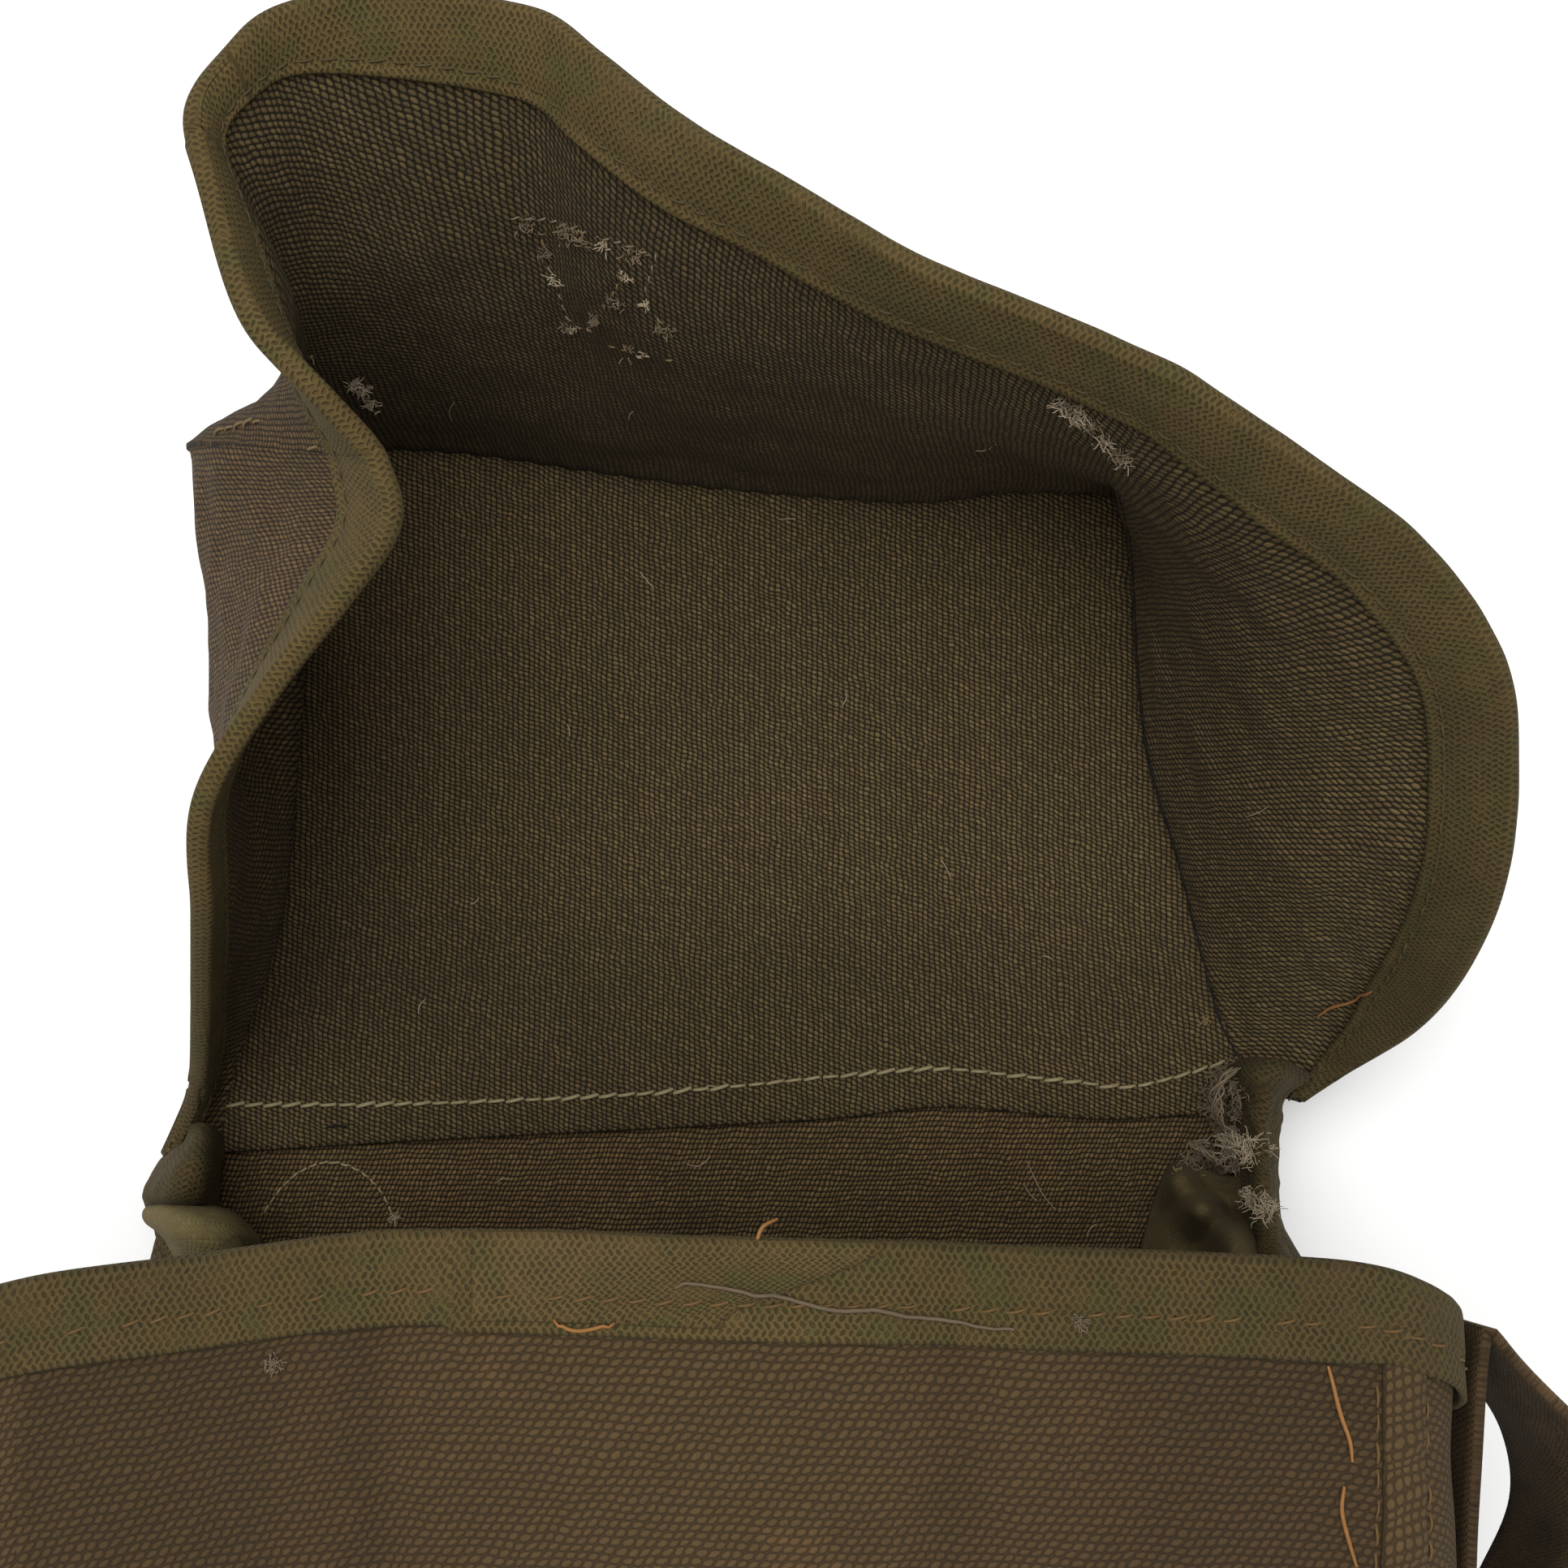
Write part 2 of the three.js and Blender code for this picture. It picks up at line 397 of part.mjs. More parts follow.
// The flap's canvas and its binding.
const foot = (panel, at) => (canvas / 2 + gap + 0.15) / rise(panel, at);
const edgeUp = (panel, at) => below(panel, at, webbing + gap + 0.2);
const wingFace = (panel) => (at) => Math.min(bindingFace, 0.62 * rise(panel, at));
const panelRows = [0, 0.2, 0.4, 0.6, 0.8, 0.9, 1]; // 0.8 to 1 lies under the binding
const trimmed = (panel) => (at, row) => {
  const low = foot(panel, at), face = wingFace(panel)(at), under = below(panel, at, face);
  const bare = [0, 0.25, 0.5, 0.75, 1].map((share) => low + (under - low) * share);
  const ups = [...bare, below(panel, at, face / 2), edgeUp(panel, at)];
  let i = 0;
  while (i < panelRows.length - 2 && row > panelRows[i + 1]) i++;
  const part = (row - panelRows[i]) / (panelRows[i + 1] - panelRows[i]);
  return panel(at, ups[i] + (ups[i + 1] - ups[i]) * part);
};
const wingGrid = [0.03, ...even(0.07, 0.97, 15)];
const lipGrid = [0.02, 0.04, 0.06, 0.09, 0.12, 0.15, 0.18, 0.21, 0.25, 0.29, ...even(0.33, 0.97, 14)];
addSheet("flap_panel", topPanel, even(0.005, 0.995, 12), even(0, 0.994, 10), canvas, olive.canvas);
// Each panel's ends as shares along it, and the looseness of its binding where the cloth curls most.
const panels = [
  { side: "wing_left", panel: leftPanel, grid: wingGrid, from: 0.03, to: 0.992, face: wingFace(leftPanel), slack: 0.2 },
  { side: "wing_right", panel: rightPanel, grid: wingGrid, from: 0.07, to: 0.992, face: wingFace(rightPanel), slack: 0.6 },
  { side: "lip", panel: lipPanel, grid: lipGrid, from: 0.012, to: 0.992, face: undefined, slack: 0.4 },
];
for (const { side, panel, grid, from, to, face, slack } of panels) {
  const stations = between(grid, from, to);
  addSheet(`flap_${side}`, trimmed(panel), stations, panelRows, canvas, olive.outside);
  addBinding(side === "lip" ? "lip_binding" : side.replace("wing", "wing_binding"), freeEdge(panel), stations, face, slack);
}

// A flat band along a line of points, each with the direction of its width.
const addBand = (name, line, widthOf, bandWidth, thickness, steps, colour) => {
  const curve = new THREE.CatmullRomCurve3(line, false, "centripetal"), rings = [];
  for (let i = 0; i <= steps; i++) {
    const t = i / steps, p = curve.getPointAt(t), run = curve.getTangentAt(t), w = widthOf(t).normalize();
    const face = run.clone().cross(w).normalize();
    const corner = ([a, b]) =>
      p.clone().addScaledVector(w, (a * bandWidth) / 2).addScaledVector(face, (b * thickness) / 2);
    rings.push([[-1, -1], [1, -1], [1, 1], [-1, 1]].map(corner));
  }
  addSweep(name, rings, colour);
};
// The shoulder strap on its right side, from the sewn end on the gusset to the table: shares of half the width, of
// height and of depth, the last above where the strap stands on its edge.
const strapRows = [
  { x: 1.044, y: -0.26, rise: 0.669 }, { x: 1.044, y: -0.15, rise: 0.675 },
  { x: 1.046, y: -0.072, rise: 0.684 }, { x: 1.06, y: -0.044, rise: 0.69 },
  { x: 1.102, y: -0.064, rise: 0.69 }, { x: 1.176, y: -0.115, rise: 0.684 },
  { x: 1.24, y: -0.17, rise: 0.66 }, { x: 1.273, y: -0.23, rise: 0.612 },
  { x: 1.26, y: -0.3, rise: 0.537 }, { x: 1.23, y: -0.39, rise: 0.423 }, { x: 1.2, y: -0.55, rise: 0.223 },
  { x: 1.185, y: -0.76, rise: 0.052 },
  { x: 1.19, y: -1.0, rise: 0.001 }, { x: 1.16, y: -1.25, rise: 0 }, { x: 0.93, y: -1.5, rise: 0 },
  { x: 0.4, y: -1.66, rise: 0 },
];
const strapOnEdge = strapWidth / 2 + 0.2;
const strapSide = (side) =>
  strapRows.map(({ x, y, rise: up }) => vector((side * x * width) / 2, y * height, strapOnEdge + up * depth));
const strapLine = [...strapSide(1), vector(0, -1.69 * height, strapOnEdge), ...strapSide(-1).reverse()];
addBand("shoulder_strap", strapLine, () => vector(0, 0, 1), strapWidth, strapThickness, 110, olive.strap);

// The closing tab, sewn outside the lip and hanging to the table, and the plain web keeper that it passes under.
// Its sewn share lies between two heights up the lip, and the rest hangs as hangRows says, in shares of lidHeight.
const sewn = 0.3, tabUp = [0.34, 0.52], tabAlong = [0.405, 0.515], tabEnd = -0.7;
const lipOut = Math.sign(normalOf(lipPanel, 0.45, 0.5).y); // which way the lip's normals point from its cloth
const hangRows = [
  { at: 0, y: 0, z: 0 }, { at: 0.12, y: 0.028, z: 0.01 }, { at: 0.26, y: 0.062, z: -0.06 },
  { at: 0.5, y: 0.07, z: -0.26 }, { at: 0.8, y: 0.06, z: -0.5 }, { at: 1, y: 0.062, z: tabEnd },
];
const tab = (u, v) => {
  const at = tabAlong[0] + (tabAlong[1] - tabAlong[0]) * u;
  const up = tabUp[0] + (tabUp[1] - tabUp[0]) * Math.min(v / sewn, 1);
  const point = lipPanel(at, up).addScaledVector(normalOf(lipPanel, at, up), lipOut * (canvas / 2 + gap + 1));
  if (v <= sewn) return point;
  const s = (v - sewn) / (1 - sewn), drop = read(hangRows, "z", s) / tabEnd;
  return vector(point.x, point.y + read(hangRows, "y", s) * lidHeight, point.z - (point.z - 1.2) * drop);
};
const tabGrid = [0, 0.1, 0.2, 0.3, 0.34, 0.38, 0.42, 0.46, 0.5, 0.6, 0.8, 1];
addSheet("closing_tab", tab, even(0, 1, 4), tabGrid, webbing, olive.binding);
const keeperDown = 0.44, keeperWidth = 16, keeperSeat = canvas / 2 + gap + 1.3;
const keeperRows = [
  { x: -21, up: 0 }, { x: -15, up: 0 }, { x: -13.2, up: 2.2 }, { x: -10, up: 3.2 }, { x: 0, up: 3.4 },
  { x: 10, up: 3.2 }, { x: 13.2, up: 2.2 }, { x: 15, up: 0 }, { x: 21, up: 0 },
];
const keeperLine = keeperRows.map(({ x, up }) => {
  const wall = bodySurface((x / (width / 2 - cornerRadius)) * flat, keeperDown);
  return vector(x, -keeperDown * height, wall.z + keeperSeat + up);
});
addBand("front_keeper", keeperLine, () => vector(0, 1, 0), keeperWidth, webbing, 28, olive.binding);

// The round-topped patch sewn under the back wall beside the hinge.
const patchWidth = 30, patchTop = -0.041 * height, patchLength = 0.21 * height;
const patch = (u, v) => {
  const y = patchTop - v * patchLength, r = patchWidth / 2, up = Math.max(r - v * patchLength, 0);
  const half = Math.sqrt(Math.max(r ** 2 - up ** 2, 0.5));
  return vector(-0.79 * width / 2 + half * (2 * u - 1), y, backLevel(y) - canvas / 2 - gap - 0.6);
};
const patchGrid = [0.01, 0.04, 0.08, 0.13, 0.2, 0.3, 0.5, 0.75, 1], patchThickness = 1;
addSheet("back_patch", patch, even(0, 1, 4), patchGrid, patchThickness, olive.binding);

export default group;
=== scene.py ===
import math

import bpy
import numpy as np
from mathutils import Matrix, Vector
from mathutils.bvhtree import BVHTree


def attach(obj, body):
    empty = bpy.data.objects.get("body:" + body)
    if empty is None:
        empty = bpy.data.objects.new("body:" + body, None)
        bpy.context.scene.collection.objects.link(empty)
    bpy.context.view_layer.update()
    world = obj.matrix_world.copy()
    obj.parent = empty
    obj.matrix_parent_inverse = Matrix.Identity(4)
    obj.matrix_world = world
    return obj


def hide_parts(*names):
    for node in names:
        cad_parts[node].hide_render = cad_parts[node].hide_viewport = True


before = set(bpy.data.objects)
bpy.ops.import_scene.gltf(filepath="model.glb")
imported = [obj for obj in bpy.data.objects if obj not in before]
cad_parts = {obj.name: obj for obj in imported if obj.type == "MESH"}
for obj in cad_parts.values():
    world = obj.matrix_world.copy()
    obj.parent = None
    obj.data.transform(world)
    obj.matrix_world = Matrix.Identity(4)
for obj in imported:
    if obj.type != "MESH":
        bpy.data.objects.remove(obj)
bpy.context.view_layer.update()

# The photograph's view: straight down from close above the open flap, so that the front wall looms large
# at the foot. The picture is square, and the bag's strap, bottom and left mouth corner lie outside it.
camera_place = Vector((0.0108, 0.2193, 0.3976))
camera = bpy.data.objects.new("camera", bpy.data.cameras.new("camera"))
camera.data.sensor_width = 36.0
camera.data.lens = 42.41
camera.data.clip_start = 0.01
camera.location = camera_place
bpy.context.scene.collection.objects.link(camera)
bpy.context.scene.camera = camera
picture_size = 1932
picture_middle = picture_size / 2
pixels_per_slope = camera.data.lens / camera.data.sensor_width * picture_size


# The table under the bag: a plain white sheet just below the cloth, wide enough for every view.
# It is the scene's stage and no piece of the bag.
def plain_floor(level, half_width):
    corners = [(-1, -1), (1, -1), (1, 1), (-1, 1)]
    mesh = bpy.data.meshes.new("floor")
    mesh.from_pydata([(x * half_width, y * half_width, level) for x, y in corners], [], [(0, 1, 2, 3)])
    material = bpy.data.materials.new("white sheet")
    material.use_nodes = True
    surface = material.node_tree.nodes["Principled BSDF"]
    surface.inputs["Base Color"].default_value = (0.96, 0.96, 0.955, 1)
    surface.inputs["Roughness"].default_value = 0.9
    mesh.materials.append(material)
    floor = bpy.data.objects.new("floor", mesh)
    bpy.context.scene.collection.objects.link(floor)


plain_floor(level=-0.0004, half_width=4)


# Soft studio light: a white room that lights every side, a broad panel high at the upper left, and a
# weak one low at the right.
def light_panel(name, place, aim, size, power):
    lamp = bpy.data.lights.new(name, "AREA")
    lamp.shape = "SQUARE"
    lamp.size = size
    lamp.energy = power
    holder = bpy.data.objects.new(name, lamp)
    holder.location = place
    holder.rotation_euler = (Vector(aim) - Vector(place)).to_track_quat("-Z", "Y").to_euler()
    bpy.context.scene.collection.objects.link(holder)


light_panel("key_panel", (-0.15, 0.45, 1.3), (0.0, 0.15, 0.03), 1.2, 21)
light_panel("fill_panel", (0.9, -0.5, 0.9), (0.0, 0.15, 0.05), 1.2, 3.2)
room = bpy.data.worlds.new("white room")
room.use_nodes = True
room.node_tree.nodes["Background"].inputs["Color"].default_value = (1.0, 1.0, 1.0, 1)
room.node_tree.nodes["Background"].inputs["Strength"].default_value = 0.43
bpy.context.scene.world = room
bpy.context.scene.view_settings.view_transform = "Standard"


# The body's canvas: a front wall and two side gussets of cotton duck, folded round the front corners. The
# bag is 216 mm wide, 127 mm deep and 235 mm tall. The mouth sags between its corners, and the walls are
# dented where the bag has been folded in store. Shapes are in millimetres from the flap's hinge.
width = 216
depth = 127
height = 235
hinge_lift = 12
canvas = 1.4
gap = 0.3
corner_roll = 11
rest_to_hinge = 150
lowest_cloth = -0.3
front_share = 0.42
arc_share = 0.075


def table(columns, *rows):
    return {name: np.array([row[i] for row in rows], float) for i, name in enumerate(columns.split())}


def read(rows, column, at):
    """Reads a table's column at a share, as a smooth curve through its rows."""
    x, y = rows["at"], rows[column]
    before = np.maximum(np.arange(len(x)) - 1, 0)
    after = np.minimum(np.arange(len(x)) + 1, len(x) - 1)
    slope = (y[after] - y[before]) / (x[after] - x[before])
    t = np.clip(at, x[0], x[-1])
    i = np.clip(np.searchsorted(x, t, side="right") - 1, 0, len(x) - 2)
    step = x[i + 1] - x[i]
    s = (t - x[i]) / step
    flat_part = y[i] * (2 * s**3 - 3 * s**2 + 1) + y[i + 1] * (3 * s**2 - 2 * s**3)
    return flat_part + step * (slope[i] * (s**3 - 2 * s**2 + s) + slope[i + 1] * (s**3 - s**2))


def smooth(start, end, x):
    s = np.clip((x - start) / (end - start), 0, 1)
    return s * s * (3 - 2 * s)


def bump(x, middle, spread):
    return np.exp(-(((x - middle) / spread) ** 2))


def unit(vectors):
    return vectors / np.maximum(np.linalg.norm(vectors, axis=-1, keepdims=True), 1e-9)


def normals_of(middle):
    return unit(np.cross(np.gradient(middle, axis=0), np.gradient(middle, axis=1)))


def waves(points, size, seed, octaves=3):
    """Smooth random heights, mostly between -1 and 1, with waves about as long as size in millimetres."""
    draw = np.random.default_rng(seed)
    total = np.zeros(points.shape[:-1])
    for octave in range(octaves):
        for _ in range(7):
            heading = unit(draw.normal(size=3)) * draw.uniform(0.7, 1.4) * 2 * math.pi * 2**octave / size
            total += np.sin(points @ heading + draw.uniform(0, 2 * math.pi)) * 0.5**octave
    return total / 4


def run_length(points, axis):
    """The distance run along a grid's axis, from its first row."""
    steps = np.linalg.norm(np.diff(points, axis=axis), axis=-1)
    start = np.zeros_like(np.take(steps, [0], axis=axis))
    return np.concatenate([start, np.cumsum(steps, axis=axis)], axis=axis)


made_meshes = []


def cloth(name, middle, flat_map, thickness, material, slot, nodes, worn=(0.0, 0.0), tone_and_painted_light=None):
    """A closed sheet of cloth round a grid of points, with rounded edges and a flat map in millimetres."""
    rows, columns = middle.shape[:2]
    normal = normals_of(middle)
    half = thickness / 2
    rounding = half * 0.7
    top, under = middle + normal * half, middle - normal * half
    near_edge = middle[:, 0] + unit(middle[:, 0] - middle[:, 1]) * rounding
    far_edge = middle[:, -1] + unit(middle[:, -1] - middle[:, -2]) * rounding
    first_edge = middle[0] + unit(middle[0] - middle[1]) * rounding
    last_edge = middle[-1] + unit(middle[-1] - middle[-2]) * rounding
    ring = np.concatenate([top, far_edge[:, None], under[:, ::-1], near_edge[:, None]], 1)
    size = ring.shape[1]
    points = np.concatenate([ring.reshape(-1, 3), first_edge, last_edge])
    ring_map = np.concatenate([flat_map, flat_map[:, -1:], flat_map[:, ::-1], flat_map[:, :1]], 1)
    maps = np.concatenate([ring_map.reshape(-1, 2), flat_map[0], flat_map[-1]])
    # tone: a brightness for each point, partly the cloth's own tone and partly painted light and shade.
    shade = np.zeros(middle.shape[:2]) if tone_and_painted_light is None else tone_and_painted_light
    ring_shade = np.concatenate([shade, shade[:, -1:], shade[:, ::-1], shade[:, :1]], 1)
    shades = np.concatenate([ring_shade.ravel(), shade[0], shade[-1]])
    wear = np.full((rows, size), worn[0], float)
    wear[:, columns + 1:-1] = worn[1]
    wears = np.concatenate([wear.ravel(), np.full(2 * columns, worn[0])])
    i, k = np.meshgrid(np.arange(rows - 1), np.arange(size), indexing="ij")
    after = (k + 1) % size
    corners = [i * size + k, (i + 1) * size + k, (i + 1) * size + after, i * size + after]
    walls = np.stack(corners, -1).reshape(-1, 4)
    caps = []
    for row, base, turned in [(0, rows * size, False), (rows - 1, rows * size + columns, True)]:
        upper = row * size + np.arange(columns)
        lower = row * size + 2 * columns - np.arange(columns)
        edge = base + np.arange(columns)
        quads = [np.stack([upper[:-1], upper[1:], edge[1:], edge[:-1]], -1)]
        quads.append(np.stack([edge[:-1], edge[1:], lower[1:], lower[:-1]], -1))
        quads.append(np.array([[lower[0], row * size + size - 1, upper[0], edge[0]]]))
        quads.append(np.array([[upper[-1], row * size + columns, lower[-1], edge[-1]]]))
        joined = np.concatenate(quads)
        caps.append(joined[:, ::-1] if turned else joined)
    faces = np.concatenate([walls, *caps])
    points[:, 2] = np.maximum(points[:, 2], lowest_cloth)
    place = (points + [0, rest_to_hinge, 0]) / 1000
    mesh = bpy.data.meshes.new(name)
    mesh.from_pydata(place.tolist(), [], faces.tolist())
    corner = np.empty(len(mesh.loops), np.int32)
    mesh.loops.foreach_get("vertex_index", corner)
    mesh.uv_layers.new(name="flat").data.foreach_set("uv", maps[corner].astype(np.float32).ravel())
    for label, values in [("tone_and_painted_light", shades), ("worn", wears)]:
        mesh.attributes.new(label, "FLOAT", "POINT").data.foreach_set("value", values.astype(np.float32))
    mesh.shade_smooth()
    mesh.materials.append(material)
    piece = bpy.data.objects.new(name, mesh)
    bpy.context.scene.collection.objects.link(piece)
    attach(piece, "root")
    if nodes:
        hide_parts(*nodes)
    made_meshes.append((place, faces))
    return piece


class Finish:
    """One material's nodes, added a line at a time. Patterns read the cloth's flat map, in millimetres."""

    def __init__(self, name, roughness, sheen, sheen_tint):
        self.material = bpy.data.materials.new(name)
        self.material.use_nodes = True
        self.tree = self.material.node_tree
        self.surface = self.tree.nodes["Principled BSDF"]
        self.surface.inputs["Roughness"].default_value = roughness
        self.surface.inputs["Sheen Weight"].default_value = sheen
        self.surface.inputs["Sheen Roughness"].default_value = 0.45
        self.surface.inputs["Sheen Tint"].default_value = (*sheen_tint, 1)
        self.surface.inputs["Specular IOR Level"].default_value = 0.2
        self.flat = self.node("ShaderNodeUVMap", uv_map="flat").outputs[0]

    def node(self, kind, **settings):
        made = self.tree.nodes.new(kind)
        for key, value in settings.items():
            setattr(made, key, value)
        return made

    def give(self, socket, value):
        if isinstance(value, bpy.types.NodeSocket):
            self.tree.links.new(value, socket)
        else:
            socket.default_value = value

    def math(self, operation, *values):
        made = self.node("ShaderNodeMath", operation=operation)
        for socket, value in zip(made.inputs, values):
            self.give(socket, value)
        return made.outputs[0]

    def noise(self, scale, detail=2.0, where=None, seed=0.0):
        made = self.node("ShaderNodeTexNoise", noise_dimensions="4D")
        self.give(made.inputs["Vector"], self.flat if where is None else where)
        made.inputs["W"].default_value = seed
        made.inputs["Scale"].default_value = scale
        made.inputs["Detail"].default_value = detail
        return made.outputs[0]

    def attribute(self, name):
        return self.node("ShaderNodeAttribute", attribute_name=name).outputs["Fac"]

    def ramp(self, value, low, high):
        made = self.node("ShaderNodeMapRange", interpolation_type="SMOOTHSTEP")
        self.give(made.inputs[0], value)
        made.inputs[1].default_value = low
        made.inputs[2].default_value = high
        return made.outputs[0]

    def mix(self, share, first, second, blend="MIX"):
        made = self.node("ShaderNodeMix", data_type="RGBA", blend_type=blend)
        self.give(made.inputs[0], share)
        for socket, value in [(made.inputs[6], first), (made.inputs[7], second)]:
            self.give(socket, value if isinstance(value, bpy.types.NodeSocket) else (*value, 1))
        return made.outputs[2]

    def speck(self, column, row):
        """A random number for each grain, from its column and row."""
        place = self.node("ShaderNodeCombineXYZ")
        self.give(place.inputs[0], column)
        self.give(place.inputs[1], row)
        made = self.node("ShaderNodeTexWhiteNoise", noise_dimensions="2D")
        self.give(made.inputs["Vector"], place.outputs[0])
        return made.outputs[0]

    def coloured(self, colour, bright):
        """Gives the surface a colour, made lighter or darker by a number."""
        level = self.node("ShaderNodeCombineXYZ")
        for socket in level.inputs:
            self.give(socket, bright)
        self.give(self.surface.inputs["Base Color"], self.mix(1.0, colour, level.outputs[0], "MULTIPLY"))

    def bumped(self, height, distance):
        made = self.node("ShaderNodeBump")
        made.inputs["Distance"].default_value = distance
        self.give(made.inputs["Height"], height)
        self.give(self.surface.inputs["Normal"], made.outputs[0])


def grains(finish, column_pitch, grain_pitch, waver):
    """A plain weave seen close, as columns of bright grains: their height, and a random number for each."""
    split = finish.node("ShaderNodeSeparateXYZ")
    finish.give(split.inputs[0], finish.flat)
    sway = finish.math("MULTIPLY_ADD", finish.noise(0.2, 3.0, seed=1), waver, -0.5 * waver)
    lift = finish.math("MULTIPLY_ADD", finish.noise(0.24, 3.0, seed=7), waver, -0.5 * waver)
    across = finish.math("DIVIDE", finish.math("ADD", split.outputs[0], sway), column_pitch)
    column = finish.math("FLOOR", across)
    from_middle = finish.math("SUBTRACT", finish.math("FRACT", across), 0.5)
    lean = finish.math("MULTIPLY", from_middle, 0.45)
    offset = finish.math("MULTIPLY", finish.math("PINGPONG", column, 1.0), 0.5)
    run = finish.math("DIVIDE", finish.math("ADD", split.outputs[1], lift), grain_pitch)
    along = finish.math("ADD", finish.math("ADD", run, offset), lean)
    row = finish.math("FLOOR", along)
    up_middle = finish.math("SUBTRACT", finish.math("FRACT", along), 0.5)
    wide = finish.math("POWER", finish.math("ABSOLUTE", finish.math("MULTIPLY", from_middle, 2.0)), 2.4)
    tall = finish.math("POWER", finish.math("ABSOLUTE", finish.math("MULTIPLY", up_middle, 2.0)), 2.0)
    dome = finish.math("SUBTRACT", 1.0, finish.math("ADD", finish.math("MULTIPLY", wide, 0.95), tall))
    return finish.math("MAXIMUM", dome, 0.0), finish.speck(column, row)


def canvas_finish(name, inside, outside, column_pitch, grain_pitch, contrast=1.0, softness=0.0, fleck=0.5):
    """Dry cotton duck, dyed olive drab: inside where it was kept from the light, outside where it faded."""
    finish = Finish(name, 0.92, 0.04, (0.6, 0.48, 0.32))
    height, speck = grains(finish, column_pitch, grain_pitch, 1.7)
    patchy = finish.math("MULTIPLY_ADD", finish.noise(0.035, 3.0), 0.5, -0.25)
    worn = finish.math("ADD", finish.attribute("worn"), patchy)
    base = finish.mix(finish.math("MAXIMUM", finish.math("MINIMUM", worn, 1.0), 0.0), inside, outside)
    blotch = finish.ramp(finish.noise(0.022, 4.0, seed=3), 0.36, 0.66)
    greener = tuple(c * k for c, k in zip(inside, (0.78, 0.92, 0.78)))
    base = finish.mix(finish.math("MULTIPLY", blotch, 0.3), base, greener)
    rust = finish.ramp(finish.noise(0.07, 3.0, seed=5), 0.6, 0.78)
    rust_brown = (0.12, 0.062, 0.024)
    base = finish.mix(finish.math("MULTIPLY", rust, 0.22), base, rust_brown)
    pale = finish.mix(1.0, base, (2.6, 2.55, 2.35), "MULTIPLY")
    dark = finish.mix(1.0, base, (1 - 0.8 * contrast,) * 3, "MULTIPLY")
    crown = finish.ramp(height, 0.02, 0.85)
    bleached = finish.math("MULTIPLY_ADD", finish.math("POWER", speck, 1.6), fleck, 0.3 - 0.35 * fleck)
    lit = finish.mix(bleached, base, pale)
    woven = finish.mix(finish.math("MAXIMUM", crown, softness), dark, lit)
    cloudy = finish.math("MULTIPLY_ADD", finish.noise(0.012, 2.0, seed=9), 0.5, 0.78)
    # The tone attribute read here adds each piece's painted light and shade to the brightness.
    bright = finish.math("ADD", cloudy, finish.attribute("tone_and_painted_light"))
    fuzz = finish.math("MULTIPLY_ADD", finish.noise(3.2, 2.0, seed=11), 0.5, 0.75)
    finish.coloured(woven, finish.math("MULTIPLY", bright, fuzz))
    fibre = finish.math("MULTIPLY", finish.noise(4.0, 3.0, seed=13), 0.35)
    relief = finish.math("ADD", finish.math("POWER", height, 0.7), fibre)
    finish.bumped(relief, 0.00028 * (1 - 0.8 * softness))
    return finish.material


duck_pitches = (1.12, 0.96)
inside_olive = (0.0646, 0.0447, 0.0198)
outside_tan = (0.0733, 0.0433, 0.018)
duck = canvas_finish("olive duck", inside_olive, outside_tan, *duck_pitches)
kept_brown = (0.04, 0.0243, 0.0105)
rubbed_brown = (0.05, 0.0308, 0.0136)
front_pitches = (1.22, 1.57)
front_duck = canvas_finish("front wall duck", kept_brown, rubbed_brown, *front_pitches, 0.62, 0.28, 0.12)

body_rows = table(
    "at half front roll",
    (0.0, 0.5, 1.076, 1.0),
    (0.15, 0.499, 1.098, 1.05),
    (0.45, 0.494, 1.04, 1.2),
    (0.8, 0.486, 0.975, 1.35),
    (1.0, 0.48, 0.93, 1.45),
)
mouth_rows = table(
    "at rise",
    (-1, 0.0), (-0.95, -0.032), (-0.89, -0.074), (-0.75, -0.08), (-0.62, -0.057), (-0.5, -0.027),
    (-0.42, -0.003), (-0.33, 0.009), (-0.19, 0.026), (0, 0.024), (0.22, 0.016), (0.35, 0.011),
    (0.415, 0.004), (0.455, -0.013), (0.5, -0.042), (0.62, -0.064), (0.74, -0.08), (0.86, -0.076),
    (0.94, -0.046), (1, 0.0),
)
body_folds = table(
    "at down wide long out",
    (-0.85, 0.0, 0.1, 0.08, -0.11),
    (-0.95, 0.06, 0.06, 0.08, 0.1),
    (0.78, 0.0, 0.14, 0.08, -0.03),
    (-0.19, 0.35, 0.022, 0.3, -0.016),
    (-0.3, 0.2, 0.06, 0.2, -0.02),
    (0.145, 0.3, 0.03, 0.3, -0.014),
    (0.02, 0.3, 0.12, 0.3, 0.022),
    (-0.76, 0.55, 0.13, 0.3, -0.07),
    (0.76, 0.6, 0.13, 0.3, -0.08),
)

gusset_folds = table(
    "at down wide long out",
    (0.9, 0.16, 0.05, 0.1, -0.13),
    (0.8, 0.2, 0.05, 0.16, 0.03),
    (-0.9, 0.2, 0.06, 0.12, -0.07),
)


def back_level(y):
    return canvas / 2 + hinge_lift * 0.94 * smooth(-0.4 * height, 0, y)


def body_shape(around, down):
    side = np.where(around < 0, -1.0, 1.0)
    q = np.abs(around)
    half, front = read(body_rows, "half", down) * width, read(body_rows, "front", down) * depth
    roll = read(body_rows, "roll", down) * corner_roll
    y = read(mouth_rows, "rise", around) * height * (1 - down) - height * down
    arc_end = front_share + arc_share
    turn = np.clip((q - front_share) / arc_share, 0, 1) * math.pi / 2
    foot = back_level(y)
    s = np.clip((q - arc_end) / (1 - arc_end), 0, 1)
    x = np.where(q <= front_share, (half - roll) * q / front_share, half - roll + roll * np.sin(turn)) * side
    z = np.where(q <= arc_end, front - roll + roll * np.cos(turn), (front - roll) * (1 - s) + foot * s)
    return np.stack([x, y, z], -1)


